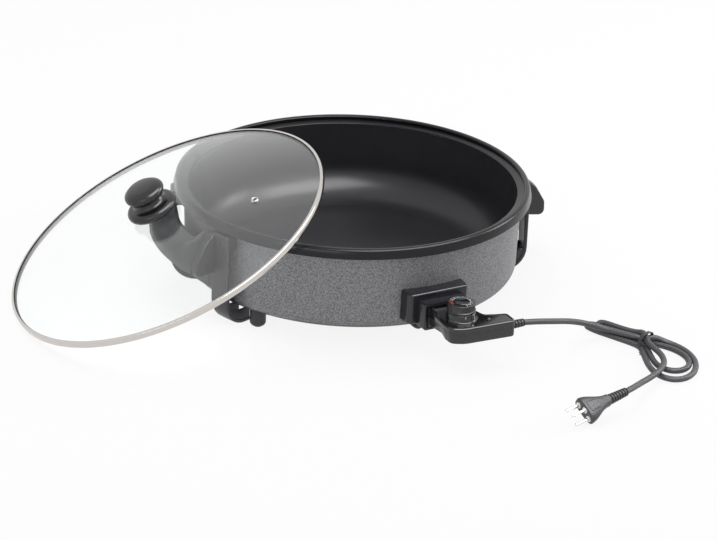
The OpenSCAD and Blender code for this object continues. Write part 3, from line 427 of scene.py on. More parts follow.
def strip_loop(q0, q1, z0, z1, width, thick, n=72):
    """A flat strip bent into a loop: its middle line is a superellipse of power
    2.6 in the plane across the bundle, and its section a rectangle."""
    t = np.linspace(0, 2 * np.pi, n, endpoint=False)
    c, s = np.cos(t), np.sin(t)
    q = (q0 + q1) / 2 + (q1 - q0) / 2 * np.sign(c) * np.abs(c) ** (2 / 2.6)
    z = (z0 + z1) / 2 + (z1 - z0) / 2 * np.sign(s) * np.abs(s) ** (2 / 2.6)
    middle = np.c_[q, z]
    forward = np.roll(middle, -1, 0) - np.roll(middle, 1, 0)
    out = np.c_[forward[:, 1], -forward[:, 0]]
    out /= np.linalg.norm(out, axis=1)[:, None]
    rings = []
    for u, w in ((-1, -1), (1, -1), (1, 1), (-1, 1)):
        edge = middle + out * u * thick / 2
        flat = tie_mid + edge[:, :1] * across + w * width / 2 * along
        rings.append(np.c_[flat, edge[:, 1]])
    return skin(np.stack(rings, 1), True)


def twisted_tail(start, finish_at, width, thick, turns, n=40):
    """A strip twisted about its own straight line, turns times."""
    t = np.linspace(0, 1, n)[:, None]
    line = start + (finish_at - start) * t
    ahead = (finish_at - start) / np.linalg.norm(finish_at - start)
    side = np.cross(ahead, (0, 0, 1.0))
    side /= np.linalg.norm(side)
    up = np.cross(side, ahead)
    a = 2 * np.pi * turns * t
    u, v = np.cos(a) * side + np.sin(a) * up, -np.sin(a) * side + np.cos(a) * up
    return skin(np.stack([line + u * x * width / 2 + v * y * thick / 2
                          for x, y in ((-1, -1), (1, -1), (1, 1), (-1, 1))], 1))


tie_film = finish("tie_film", (0.018, 0.018, 0.02), 0.33, grain=1.4, bump=0.15)
tie_root = np.array([*(tie_mid + across * (q_low + 0.6)), TABLE_Z + 4])
tie_tail = np.array([*(tie_mid + across * (q_low - 9) - along * 8), TABLE_Z + 1.6])
tie = piece("cord_twist_tie",
            [strip_loop(q_low, q_high, z_low, z_high, 4.2, 0.9),
             twisted_tail(tie_root, tie_tail, 2.8, 0.9, 1.5)],
            [tie_film], "control", ["cord_tie"])

# --- Mains plug ---------------------------------------------------------------
# Moulded onto the cord in the same rubber: a flat grip that flares to the face, with a
# smooth panel on each side and three round pins. A pale ring at each root is a painted
# highlight on the face.
plug_w, plug_t = 32.0, 16.0


def oval(x, half_w, half_t, power=3.2, n=64):
    """Rings across X: superellipses of the given half width and thickness."""
    t = np.linspace(0, 2 * np.pi, n, endpoint=False)
    c, s = np.cos(t), np.sin(t)
    y = np.sign(c) * np.abs(c) ** (2 / power)
    z = np.sign(s) * np.abs(s) ** (2 / power)
    x, half_w, half_t = (np.asarray(v, float)[:, None] for v in (x, half_w, half_t))
    return skin(np.stack([x + 0 * t, half_w * y, half_t * z], -1))


u = np.linspace(0, 1, 30)
flare = 6.6 + (plug_w / 2 - 6.6) * (3 * u**2 - 2 * u**3) ** 1.25
thick = 6.1 + (plug_t / 2 - 6.1) * np.sin(u * np.pi / 2)
edge = np.linspace(0, np.pi / 2, 6)[1:]
x = np.concatenate([-plug_l + u * (plug_l - 1.8), -1.8 + 1.8 * np.sin(edge), [0]])
rounding = 1.8 * (1 - np.cos(edge))
half_w = np.concatenate([flare, flare[-1] - rounding, [plug_w / 2 - 2.4]])
half_t = np.concatenate([thick, thick[-1] - rounding, [plug_t / 2 - 2.4]])
panel_x = np.array([-17.5, -17.3, -16.6, -8.0, -5.2, -4.5, -4.3])
panel_w = np.array([5.2, 5.6, 5.8, 7.4, 7.9, 7.7, 7.3])
panels = [oval(panel_x, panel_w, np.full(7, plug_t / 2 + 0.35), 7.0)]
plug_rubber = finish("plug_rubber", (0.045, 0.046, 0.05), 0.4, grain=0.9, bump=0.12)
plug_body = piece("plug_grip",
                  [put(s, plug_turn, plug_at)
                   for s in [oval(x, half_w, half_t)] + panels],
                  [plug_rubber], "control", ["plug_body"])

plug_pitch, pin_l, pin_r = 19.0, 19.0, 2.0
pin_spots = ((-plug_pitch / 2, -1.5), (0.0, 2.5), (plug_pitch / 2, -1.5))
pin_profile = [(0.05, -1), (pin_r, -1), (pin_r, pin_l - 1.6),
               (pin_r - 0.25, pin_l - 0.8), (pin_r - 0.9, pin_l - 0.1), (0.05, pin_l)]
bright_pin = finish("nickel_plate", (0.83, 0.82, 0.8), 0.2, 1.0, grain=2, bump=0.03,
                    spread=0.04)
pins = piece("plug_blades",
             [put(put(spin(pin_profile, 40), LIE_X, (0, a, b)), plug_turn, plug_at)
              for a, b in pin_spots],
             [bright_pin], "control", ["plug_pins"])
# Pale rings at the pins' roots: a painted highlight on the plug's face.
root_painted_highlight = finish("root_painted_highlight", (0.75, 0.75, 0.74), 0.4, grain=0.8)
root_highlights = piece("plug_pin_root_highlights",
              [put(put(spin([(pin_r, 0), (3.6, 0), (3.4, 0.5), (pin_r, 0.5)], 40, True),
                       LIE_X, (0, a, b)), plug_turn, plug_at) for a, b in pin_spots],
              [root_painted_highlight], "control")

# --- Pan ----------------------------------------------------------------------
# Cast aluminium, turned: hammered grey stove enamel outside up to the rim's
# skirt, and a satin black non-stick coat over the rim, the ledge and the inside.
pan_h, rim_r, skirt_h, rim_flare = 107.0, 210.0, 11.5, 2.5
wall_top_r, wall_foot_r = 200.5, 198.5
pad_r, pad_proud, foot_fillet, floor_z = 85.0, 0.8, 14.0, 5.3
skirt_z, lip_r, seat_r = pan_h - skirt_h, 203.0, 195.0


def arc(centre, radius, start, end, n=10):
    """Points on an arc between two angles in degrees."""
    a = np.radians(np.linspace(start, end, n))
    return np.c_[centre[0] + radius * np.cos(a), centre[1] + radius * np.sin(a)]


under_r = wall_foot_r - (foot_fillet - pad_proud)
skirt_r = rim_r + rim_flare
outside = np.concatenate([
    [(0.3, 0), (pad_r - 1, 0)], arc((pad_r - 1, 0.4), 0.4, -90, 0, 4),
    [(pad_r + 1, pad_proud), (under_r - 1, pad_proud)],
    arc((under_r, foot_fillet), foot_fillet - pad_proud, -90, 0, 16),
    np.c_[np.linspace(wall_foot_r, wall_top_r, 12)[1:],
          np.linspace(foot_fillet, skirt_z + 4, 12)[1:]]])
rim = np.concatenate([
    [(wall_top_r + 0.2, skirt_z + 5.6)], [(skirt_r - 5.5, skirt_z + 6.2)],
    arc((skirt_r - 4.6, skirt_z + 4.6), 1.9, 60, 0, 5),
    [(skirt_r - 2.7, skirt_z + 0.6)],
    arc((skirt_r - 1.9, skirt_z + 0.8), 0.8, 180, 270, 4),
    arc((skirt_r - 0.9, skirt_z + 0.9), 0.9, -90, 0, 5),
    arc((rim_r - 3.2, pan_h - 3.6), 3.6, 12, 90, 9),
    arc((lip_r + 2.2, pan_h - 2.2), 2.2, 90, 172, 8),
    arc((lip_r + 1.2, pan_h - 3.2), 1.2, 200, 262, 4),
    [(seat_r + 1.8, pan_h - 6.6)], arc((seat_r + 1.6, pan_h - 8.1), 1.5, 100, 180, 6)])
inner_top_r, inner_foot_r, inner_fillet = 195.3, 193.7, 44.0
inside = np.concatenate([
    np.c_[np.linspace(inner_top_r, inner_foot_r, 10),
          np.linspace(skirt_z + 0.5, floor_z + inner_fillet, 10)],
    arc((inner_foot_r - inner_fillet, floor_z + inner_fillet), inner_fillet,
        0, -90, 30)[1:],
    [(130, floor_z), (60, floor_z), (0.3, floor_z)]])


def hammered_paint():
    """Grey enamel that has drawn up into flat drops 1.6 mm across, dark in
    the seams between them: cells, blurred by noise, drive colour and height."""
    material = bpy.data.materials.new("hammered_grey")
    material.use_nodes = True
    tree = material.node_tree
    shader = tree.nodes["Principled BSDF"]
    shader.inputs["Metallic"].default_value = 0.35
    place = tree.nodes.new("ShaderNodeTexCoord")
    warp, drops, speck = (tree.nodes.new(f"ShaderNodeTex{k}")
                          for k in ("Noise", "Voronoi", "Noise"))
    warp.inputs["Scale"].default_value = 300
    speck.inputs["Scale"].default_value = 640
    speck.inputs["Detail"].default_value = 3
    drops.inputs["Scale"].default_value = 680
    shift = tree.nodes.new("ShaderNodeMix")
    shift.data_type = "VECTOR"
    shift.inputs["Factor"].default_value = 0.0035
    tone = tree.nodes.new("ShaderNodeValToRGB")
    tone.color_ramp.elements[0].position = 0.3
    tone.color_ramp.elements[0].color = (0.32, 0.32, 0.332, 1)
    tone.color_ramp.elements[1].position = 0.75
    tone.color_ramp.elements[1].color = (0.118, 0.118, 0.125, 1)
    mixed = tree.nodes.new("ShaderNodeMath")
    mixed.operation = "MULTIPLY_ADD"
    mixed.inputs[1].default_value = 0.55
    half = tree.nodes.new("ShaderNodeMath")
    half.operation = "MULTIPLY"
    half.inputs[1].default_value = 0.62
    relief = tree.nodes.new("ShaderNodeBump")
    relief.invert = True
    relief.inputs["Strength"].default_value = 0.55
    relief.inputs["Distance"].default_value = 0.0004
    gloss = tree.nodes.new("ShaderNodeMapRange")
    gloss.inputs["To Min"].default_value = 0.34
    gloss.inputs["To Max"].default_value = 0.62
    wire(tree, (place, "Object", shift, "A"), (place, "Object", warp, "Vector"),
         (warp, "Color", shift, "B"), (shift, "Result", drops, "Vector"),
         (place, "Object", speck, "Vector"), (speck, 0, half, 0),
         (drops, "Distance", mixed, 0), (half, 0, mixed, 2),
         (mixed, 0, tone, "Fac"), (tone, "Color", shader, "Base Color"),
         (mixed, 0, relief, "Height"), (relief, 0, shader, "Normal"),
         (mixed, 0, gloss, 0), (gloss, 0, shader, "Roughness"))
    return material


pan_paint = hammered_paint()
pan_coat = finish("nonstick_coat", (0.022, 0.0215, 0.026), 0.3, grain=0.5, bump=0.05,
                  spread=0.2, wear=0.015, specular=0.4)
rim_coat = finish("rim_coat", (0.007, 0.007, 0.009), 0.22, grain=0.7, bump=0.03,
                  spread=0.3, wear=0.02, specular=0.28)


def coated(centres):
    """0 for the enamelled outside, 1 for the inside and 2 for the rim over it."""
    r, z = np.hypot(centres[:, 0], centres[:, 1]), centres[:, 2]
    rim_faces = (z > skirt_z + 3.5) | (r > wall_top_r + 1)
    return np.where(rim_faces, 2, (z > pad_proud + 2) & (r < inner_top_r + 0.4))


piece("pan_shell", [spin(np.concatenate([outside, rim, inside]), 288)],
      [pan_paint, pan_coat, rim_coat], "pan", ["pan_body"],
      second=coated)

# --- Handles ------------------------------------------------------------------
# Each is one phenolic moulding: an upright wall round the pan with a hollow grip
# along it, and a ribbed leg at each end that hooks in under the pan. Screws go
# through the tops of the legs into studs on the pan, under round covers.
handle_back, handle_half, leg_span = 3.5, 24.0, 7.2
grip_in_r, grip_out_r = 211.5, 216.0
leg_top, boss_low, leg_bend, toe_r = 93.5, 75.5, 31.0, 175.0
web_low, web_top = 23.0, 73.0
leg_angle = handle_half - leg_span / 2
grip_half = leg_angle - leg_span / 2


def filleted(corners, radii, n=7):
    """A closed outline with each corner replaced by an arc of its own radius,
    which touches both sides; the corners run counter-clockwise or clockwise."""
    q = np.asarray(corners, float)
    p, s = np.roll(q, 1, 0), np.roll(q, -1, 0)
    a = (p - q) / np.linalg.norm(p - q, axis=1)[:, None]
    b = (s - q) / np.linalg.norm(s - q, axis=1)[:, None]
    r = np.asarray(radii, float)[:, None]
    half = np.arccos(np.clip((a * b).sum(1), -1, 1))[:, None] / 2
    middle = (a + b) / np.linalg.norm(a + b, axis=1)[:, None]
    c = q + middle * r / np.sin(half)
    start, end = q + a * r / np.tan(half) - c, q + b * r / np.tan(half) - c
    t = np.linspace(0, 1, n)[None, :, None]
    sweep = np.pi - 2 * half[:, :, None]
    arcs = (np.sin((1 - t) * sweep) * start[:, None] + np.sin(t * sweep)
            * end[:, None]) / np.sin(sweep)
    return (c[:, None] + arcs).reshape(-1, 2)


def inward(outline):
    """Unit normals of a closed outline, pointing into it."""
    ahead = np.roll(outline, -1, 0) - np.roll(outline, 1, 0)
    area = (outline[:, 0] * np.roll(outline[:, 1], -1)
            - outline[:, 1] * np.roll(outline[:, 0], -1)).sum()
    n = np.c_[-ahead[:, 1], ahead[:, 0]] * np.sign(area)
    return n / np.linalg.norm(n, axis=1)[:, None]


def eased(low, high, r_low, r_high, n=6):
    """Levels of a body with rounded ends: (place, inset), where the inset grows
    as a quarter circle towards each end and a last step keeps the end flat."""
    a = np.linspace(0, np.pi / 2, n)
    first = np.c_[low + r_low * (1 - np.cos(a)), r_low * (1 - np.sin(a))]
    last = np.c_[high - r_high * (1 - np.cos(a)), r_high * (1 - np.sin(a))][::-1]
    return np.concatenate([[(low, r_low + 0.35)], first, last,
                           [(high, r_high + 0.35)]])


def swept(outline, start, end, ease, ends=None, about=214.0):
    """An outline of (radius, height) carried round Z from one angle to another,
    both in degrees, with its ends eased by so many mm. With ends it changes into
    that outline between 6 and 15 degrees from the middle, by 3t^2 - 2t^3."""
    first, last = np.split(eased(*(np.radians([start, end]) * about), ease, ease), 2)
    middle = np.linspace(first[-1], last[0], 30)[1:-1]
    level = np.concatenate([first, middle, last])
    turn = level[:, :1] / about
    t = np.clip((np.abs(np.degrees(turn)) - 6) / 9, 0, 1)[:, :, None]
    ends = outline if ends is None else ends
    ring = outline + (3 * t**2 - 2 * t**3) * (ends - outline)
    ring = ring + level[:, 1, None, None] * np.stack([inward(o) for o in ring])
    return skin(np.stack([ring[..., 0] * np.cos(turn), ring[..., 0] * np.sin(turn),
                          ring[..., 1]], -1))


leg = filleted([(toe_r, TABLE_Z), (grip_out_r, TABLE_Z), (grip_out_r, leg_top),
                (200.6, leg_top), (200.3, boss_low), (grip_in_r, boss_low),
                (grip_in_r, TABLE_Z + 4.5), (toe_r, TABLE_Z + 4.5)],
               [2.0, leg_bend, 2.6, 1.8, 1.8, 2.0, leg_bend - 4.5, 2.0], 9)
# two ribs close each hook's sides, clear of the pan
rib = filleted([(176.5, -18.2), (186, -18.2), (200, -12.5), (210, -2), (213, 10),
                (207, 10), (203, 3), (196, -2.2), (188, -2.6), (176.5, -2.6)],
               [0.8, 6, 6, 6, 0.8, 2, 4, 4, 4, 2.0], 5)


def grip(top, nose, below, radii):
    """Outline of the upright wall and its grip: top is the wall's height, nose
    the grip's upper corners, and below its corners underneath."""
    wall = [(215.8, top), (211.7, top), (211.7, web_low), (215.8, web_low)]
    return filleted(wall + below + nose, [1.3, 1.4, 1.4, 1.3] + radii + [10, 8])


low_nose, high_nose = [(242.5, 60.0), (229.5, 67.6)], [(241.3, 60.5), (229.5, 80.5)]
closed = [(215.8, 44.2), (241.9, 42.4)], [2, 7]
hollow = ([(215.8, 65.5), (236.0, 57.5), (236.4, 44.8), (241.9, 42.4)],
          [1.2, 3, 1.0, 2.4])
handle_parts = (
    [swept(grip(web_top, low_nose, *form), start, end, ease,
           grip(91.5, high_nose, *form))
     for form, start, end, ease in (
         (hollow, 1.2 - grip_half, grip_half - 1.2, 0.02),
         (closed, grip_half - 1.3, grip_half + 1.1, 1.8),
         (closed, -1.1 - grip_half, 1.3 - grip_half, 1.8))]
    + [swept(leg, s * leg_angle - leg_span / 2, s * leg_angle + leg_span / 2, 1.4)
       for s in (-1, 1)]
    + [swept(rib, s * leg_angle + e * (leg_span / 2 - 0.7) - 0.45,
             s * leg_angle + e * (leg_span / 2 - 0.7) + 0.45, 0.4)
       for s in (-1, 1) for e in (-1, 1)])
cover = put(spin([(0.1, -2), (4.9, -2), (4.9, 0.1), (4.6, 0.4), (3.6, 0.45),
                  (3.2, 0.15), (0.1, 0.1)], 48), LIE_X, (grip_out_r, 0, leg_top - 9))
handle_plastic = finish("phenolic_black", (0.022, 0.022, 0.025), 0.4, grain=0.9,
                        bump=0.14, spread=0.2)
for side, middle in (("right", handle_back), ("left", 180 - handle_back)):
    turn = turned(0, 0, np.radians(middle))
    piece(f"{side}_handle_moulding", [put(p, turn) for p in handle_parts],
          [handle_plastic], "pan", [f"{side}_handle"])
    piece(f"{side}_screw_covers",
          [put(cover, turned(0, 0, np.radians(middle + s * leg_angle)))
           for s in (-1, 1)], [handle_plastic], "pan")

# --- Foot posts ---------------------------------------------------------------
# Four phenolic posts under the pan, each with a nut let into it for the stud
# that is welded to the pan, and a rubber pad pressed into its end.
post_r, post_at_r, post_angle = 9.5, 182.0, 29.2
post = np.concatenate([[(5.6, TABLE_Z + 1.2)],
                       arc((post_r - 5.5, TABLE_Z + 6.0), 5.5, -72, 0, 9),
                       [(post_r, 0), (post_r, 4), (0.2, 4), (0.2, TABLE_Z + 1.2)]])
pad = [(0.2, TABLE_Z), (5.0, TABLE_Z), (5.4, TABLE_Z + 0.4), (5.4, TABLE_Z + 3),
       (0.2, TABLE_Z + 3)]
spots = [np.radians(m + s * post_angle) for m in (handle_back, 180 - handle_back)
         for s in (-1, 1)]
places = [(post_at_r * np.cos(a), post_at_r * np.sin(a), 0) for a in spots]
piece("foot_post_mouldings", [put(spin(post, 64, True), at=p) for p in places],
      [handle_plastic], "pan", ["foot_posts"])
pad_rubber = finish("pad_rubber", (0.03, 0.03, 0.03), 0.75, grain=0.7)
piece("foot_rubber_pads", [put(spin(pad, 48), at=p) for p in places],
      [pad_rubber], "pan", ["foot_pads"])

# --- Lid ----------------------------------------------------------------------
# A shallow dome of clear toughened glass in a rolled band of polished steel. It
# stands on the table on its lower edge and leans on the pan's rim.
lid_r, band_h, band_t, glass_t, dome_h = lip_r - 5.0, 7.0, 0.9, 4.0, 34.0
lean_dir, level_psi, level_dir = np.radians((170.55, 63.2, 126.3))
lid_tilt = np.arcsin((pan_h - TABLE_Z) / (lid_r * (1 + np.cos(level_psi))))
lean = np.array([np.cos(lean_dir), np.sin(lean_dir)])
lid_xy = ((rim_r + 6.7) * np.array([np.cos(level_dir), np.sin(level_dir)])
          + lean * (lid_r * np.cos(level_psi) * np.cos(lid_tilt)
                    + band_h / 2 * np.sin(lid_tilt))
          + np.array([-lean[1], lean[0]]) * lid_r * np.sin(level_psi))
lid_at = np.array([*lid_xy, TABLE_Z + lid_r * np.sin(lid_tilt)
                   + band_h / 2 * np.cos(lid_tilt) + 0.02])
lid_turn = turned(0, lid_tilt, lean_dir)
glass_edge_r = lid_r - band_t - 0.1
dome_mid = dome_h - glass_t / 2
dome_r = (glass_edge_r**2 + dome_mid**2) / (2 * dome_mid)


def dome(s, side):
    """Height of the glass at distance s from the axis: a sphere's, and half the
    glass thickness further out or in."""
    return np.sqrt((dome_r + side * glass_t / 2) ** 2 - s**2) + dome_mid - dome_r


s_out = np.linspace(3.7, glass_edge_r, 34)
glass = np.concatenate([np.c_[s_out, dome(s_out, 1)],
                        np.c_[s_out, dome(s_out, -1)][::-1]])


def clear_glass():
    """Faintly green toughened glass that lets the lamps' light through, its tint
    varying a little from place to place."""
    material = bpy.data.materials.new("toughened_glass")
    material.use_nodes = True
    tree = material.node_tree
    shader = tree.nodes["Principled BSDF"]
    shader.inputs["Roughness"].default_value = 0
    shader.inputs["Transmission Weight"].default_value = 1
    shader.inputs["IOR"].default_value = 1.5
    place, cloud, tint = (tree.nodes.new(k) for k in (
        "ShaderNodeTexCoord", "ShaderNodeTexNoise", "ShaderNodeMix"))
    cloud.inputs["Scale"].default_value = 9
    tint.data_type = "RGBA"
    tint.inputs["A"].default_value = (0.965, 0.98, 0.978, 1)
    tint.inputs["B"].default_value = (0.985, 0.99, 0.99, 1)
    through, path, way = (tree.nodes.new(k) for k in (
        "ShaderNodeBsdfTransparent", "ShaderNodeLightPath", "ShaderNodeMixShader"))
    through.inputs["Color"].default_value = (0.94, 0.95, 0.95, 1)
    wire(tree, (place, "Object", cloud, "Vector"), (cloud, 0, tint, "Factor"),
         (tint, "Result", shader, "Base Color"), (path, "Is Shadow Ray", way, 0),
         (shader, 0, way, 1), (through, 0, way, 2),
         (way, 0, tree.nodes["Material Output"], 0))
    return material


piece("lid_dome_glass", [put(spin(glass, 256, True), lid_turn, lid_at)],
      [clear_glass()], "lid", ["lid_glass"], sharp=50)
channel_r = glass_edge_r - 2.4
g_top, g_low = dome(np.array([channel_r, channel_r - 2]), 1)[0], dome(channel_r - 2, -1)
band = np.concatenate([
    arc((lid_r - 0.9, -band_h / 2 + 0.9), 0.9, -90, 0, 6),
    [(lid_r, 0)], arc((lid_r - 1.0, band_h / 2 - 1.0), 1.0, 0, 62, 6),
    [(channel_r + 0.3, g_top + 0.95)],
    arc((channel_r + 0.2, g_top + 0.5), 0.45, 90, 270, 6),
    [(glass_edge_r, dome(glass_edge_r, 1) - 0.2),
     (glass_edge_r, dome(glass_edge_r, -1)),
     (channel_r - 1.7, g_low - 0.15), (channel_r - 1.9, g_low - 0.6),
     (channel_r - 1.9, -band_h / 2 - 1.3)],
    arc((channel_r - 1.0, -band_h / 2 - 1.05), 0.6, 200, 340, 6),
    [(channel_r, -band_h / 2 - 0.4), (channel_r + 0.5, -band_h / 2)]])
polished = finish("polished_steel", (0.6, 0.57, 0.54), 0.14, 1.0, grain=3, bump=0.005,
                  spread=0.04, wear=0.04)
# The band's inner edge takes a near-black finish: painted shade in the seam between
# band and glass, not a real seal.
seam_shade = finish("seam_painted_shade", (0.012, 0.012, 0.012), 0.5, grain=0.8)


def in_seam_shade(centres):
    """True for the inner edge of the band, painted near black as the shade in the seam
    where the glass sits.
    """
    return np.linalg.norm(((centres - lid_at) @ lid_turn)[:, :2], axis=1) < (
        channel_r + 0.35)


piece("lid_band", [put(spin(band, 288, True), lid_turn, lid_at)], [polished, seam_shade],
      "lid", ["lid_rim"], second=in_seam_shade)

# The steam vent is a steel eyelet riveted through the glass.
vent_r, vent_dir = 125.0, np.radians(145.4)
eyelet = np.concatenate([
    arc((3.6, glass_t / 2 + 0.15), 0.85, 0, 180, 9),
    arc((3.6, -glass_t / 2 - 0.15), 0.75, 180, 360, 9),
    [(3.05, -glass_t / 2 + 0.2), (3.05, glass_t / 2 - 0.2)]])
vent_turn = turned(0, 0, vent_dir) @ turned(0, np.arcsin(vent_r / dome_r), 0)
vent_at = vent_turn @ np.array([0, 0, dome_r]) + np.array([0, 0, dome_mid - dome_r])
piece("steam_eyelet",
      [put(put(spin(eyelet, 48, True), vent_turn, vent_at), lid_turn, lid_at)],
      [polished], "lid", ["vent_eyelet"])

# --- Knob ---------------------------------------------------------------------
# Black phenolic in two parts on one screw: a thick round flange that keeps the
# fingers off the glass, and a mushroom cap on its neck.
flange_r, flange_h, cap_r, cap_h, neck_r, neck_h = 30.0, 12.0, 24.0, 16.0, 15.5, 9.0
flange_z = dome_h + 1.2
neck_z = flange_z + flange_h
cap_z = neck_z + neck_h
knob_top = cap_z + cap_h
base_profile = np.concatenate([
    [(2.5, flange_z), (flange_r - 7, flange_z)],
    arc((flange_r - 6, flange_z + 6), 6, -90, 90, 18),
    arc((neck_r + 7.5, neck_z + 5), 5, 270, 190, 8),
    [(neck_r + 2, cap_z - 1.2), (2.5, cap_z - 1.2)]])
cap_profile = np.concatenate([
    [(0.2, cap_z - 1.8), (neck_r + 2.6, cap_z - 1.8)],
    arc((neck_r + 3, cap_z - 0.8), 1, -80, -45, 3),
    [(cap_r - 3.2, cap_z + 0.2)], arc((cap_r - 6.4, cap_z + 6.4), 6.4, -46, 58, 14),
    arc((0, knob_top - 90), 90, 79, 89.9, 8)])
knob_plastic = finish("knob_phenolic", (0.013, 0.013, 0.015), 0.24, grain=0.9, bump=0.1,
                      spread=0.2)
piece("knob_flange", [put(spin(base_profile, 128, True), lid_turn, lid_at)],
      [knob_plastic], "lid", ["knob_base"])
piece("knob_mushroom", [put(spin(cap_profile, 128), lid_turn, lid_at)],
      [knob_plastic], "lid", ["knob_cap"])

# --- Terminal guard -----------------------------------------------------------
# A black phenolic box screwed to the pan's wall round the terminals, with a
# square sleeve on its face that the heat control's nose slides into.
socket_x, guard_half_w, guard_low, guard_top = -2.0, 38.5, 14.0, 51.5
guard_front, sleeve_top, sleeve_half_w, sleeve_l = 215.0, 45.0, 29.0, 17.0
guard_mid, guard_half_h = (guard_low + guard_top) / 2, (guard_top - guard_low) / 2


def box_rings(y, half_w, half_h, corner, x0, z0, n=8):
    """Rounded rectangles across Y, one for each place in y."""
    y, half_w, half_h, corner = np.broadcast_arrays(
        *(np.asarray(v, float) for v in (y, half_w, half_h, corner)))
    a = np.radians(np.arange(4)[:, None] * 90 + np.linspace(0, 90, n)).ravel()
    quarter = np.repeat(np.arange(4), n)
    sx = np.array([1, -1, -1, 1.0])[quarter]
    sz = np.array([1, 1, -1, -1.0])[quarter]
    r = corner[:, None]
    x = x0 + sx * (half_w[:, None] - r) + r * np.cos(a)
    z = z0 + sz * (half_h[:, None] - r) + r * np.sin(a)
    return np.stack([x, y[:, None] + 0 * a, z], -1)


a = np.linspace(0, np.pi / 2, 8)
front_in = 3.0 * (1 - np.cos(a))
guard_y = np.concatenate([[-196.0, -203.0, -207.0, -210.5],
                          -guard_front + 3 - 3 * np.sin(a), [-guard_front]])
guard_w = np.concatenate([[0, 0, 0.3, 1.0], 2.2 + front_in * 0.9, [2.2 + 3.4]])
guard_in_h = np.concatenate([[0, 0, 0, 0], front_in * 0.8, [3.2]])
box = box_rings(guard_y, guard_half_w + 0.8 - guard_w, guard_half_h - guard_in_h, 2.4,
                socket_x, guard_mid)
box[0, :, 1] = -np.sqrt(197.2**2 - box[0, :, 0] ** 2)
guard_plastic = finish("guard_phenolic", (0.015, 0.015, 0.02), 0.22, grain=1.1,
                       bump=0.06, spread=0.2)
piece("guard_box", [skin(box)], [guard_plastic], "pan",
      ["terminal_guard"])
sleeve_low = guard_low - 1
sleeve_mid, sleeve_half_h = (sleeve_low + sleeve_top) / 2, (sleeve_top - sleeve_low) / 2
tip = -guard_front - sleeve_l
sleeve_y = [1 - guard_front, tip + 1, tip + 0.3, tip, tip, tip + 0.3, tip + 1,
            -guard_front - 0.05]
sleeve_in = np.array([0, 0, 0.3, 1, 2.6, 3.3, 3.6, 3.6])
sleeve_box = box_rings(sleeve_y, sleeve_half_w - sleeve_in,
                       sleeve_half_h - sleeve_in * 0.83,
                       [3, 3, 3, 2.6, 1.8, 1.5, 1.5, 1.5], socket_x, sleeve_mid)
piece("guard_mouth", [skin(sleeve_box)], [guard_plastic], "pan",
      ["guard_sleeve"])

# --- Heat control -------------------------------------------------------------
# Two black phenolic shells screwed together from below, the upper one glossy: a
# nose that goes into the sleeve, a rounded body under the dial and an arm that
# carries the cord.
case_low, case_split, case_top = 16.0, 30.0, 36.0
dial_x, dial_y, dial_r, dial_top, turret_h = 1.0, 258.0, 15.5, 55.0, 8.0
round_corners = [3.3, 14, 8, 9, 26, 4.5, 3.4, 5, 16, 7, 10, 3.3]
arm = [(52, -292), (55, -286), (55, -270), (41, -266), (30, -262)]
foot_outline = filleted([(-22, -230.5), (-19.5, -251), (-24, -267), (-24, -280),
                         (-10, -287.8), *arm, (22, -250), (22, -230.5)],
                        round_corners, 9)[::-1]
brow_outline = filleted([(-24.6, -231.5), (-25.2, -251), (-26, -267), (-25.5, -281),
                         (-10, -288.6), *arm, (23.5, -250), (22.6, -231.5)],
                        round_corners, 9)[::-1]


def stacked(levels):
    """The case's outline raised through levels of (height, inset). It changes from
    the waisted foot to the brow by 3t^2 - 2t^3 of the height, and its top rises
    towards the sleeve, 5.6 mm at the sleeve by the same curve."""
    z = levels[:, :1, None]
    t = np.clip((z - 19) / 12, 0, 1)
    ring = foot_outline + (3 * t**2 - 2 * t**3) * (brow_outline - foot_outline)
    ring = ring + levels[:, 1, None, None] * inward(brow_outline)
    rise = np.clip((ring[..., 1:] + 262) / 28, 0, 1)
    share = np.clip((z - case_split) / (case_top - case_split), 0, 1)
    return skin(np.concatenate(
        [ring, z + 5.6 * share * (3 * rise**2 - 2 * rise**3)], -1))


def nose(z0, z1, ease):
    """The block that goes into the sleeve, with its long edges rounded."""
    return skin(box_rings([-218.0, -219.0, -231.0, -233.0], [23.6, 24.9, 24.9, 24.0],
                          (z1 - z0) / 2, ease, socket_x, (z0 + z1) / 2))


case_gloss = finish("case_gloss", (0.009, 0.009, 0.011), 0.13, grain=1.6, bump=0.04,
                    spread=0.2, wear=0.03, coat=0.3)
case_satin = finish("case_satin", (0.02, 0.02, 0.023), 0.34, grain=0.9, bump=0.12)
piece("case_lower_shell",
      [stacked(eased(case_low, case_split - 0.08, 2.2, 0.15)),
       nose(16.6, 29.9, 1.0)],
      [case_satin], "control", ["controller_lower"])
brow = eased(case_split + 0.08, case_top, 0.15, 2.3, 9)
dish = np.array([(case_top, 2.8), (case_top - 0.25, 3.0), (case_top - 0.8, 3.05)])
turret = np.concatenate([[(0.2, case_top - 3), (19.6, case_top - 3),
                          (19.2, case_top - 0.4)],
                         arc((19.3, case_top + 1.4), 1.8, 262, 185, 6),
                         [(dial_r + 1.2, case_top + 4)],
                         arc((dial_r + 0.2, case_top + turret_h - 0.8), 0.8, 0, 90, 5),
                         [(0.2, case_top + turret_h)]])
at_dial = (dial_x, -dial_y, 0)
pip = np.concatenate([[(0.1, case_top - 3), (2.5, case_top - 3)],
                      arc((0, case_top - 1.6), 2.5, 4, 88, 8)])
piece("case_upper_shell",
      [stacked(np.concatenate([brow[:-1], dish])), nose(30.0, 41.4, 1.0),
       put(spin(turret, 96), at=at_dial), put(spin(pip, 40), at=(1.5, -282.6, 0))],
      [case_gloss], "control", ["controller_upper"])

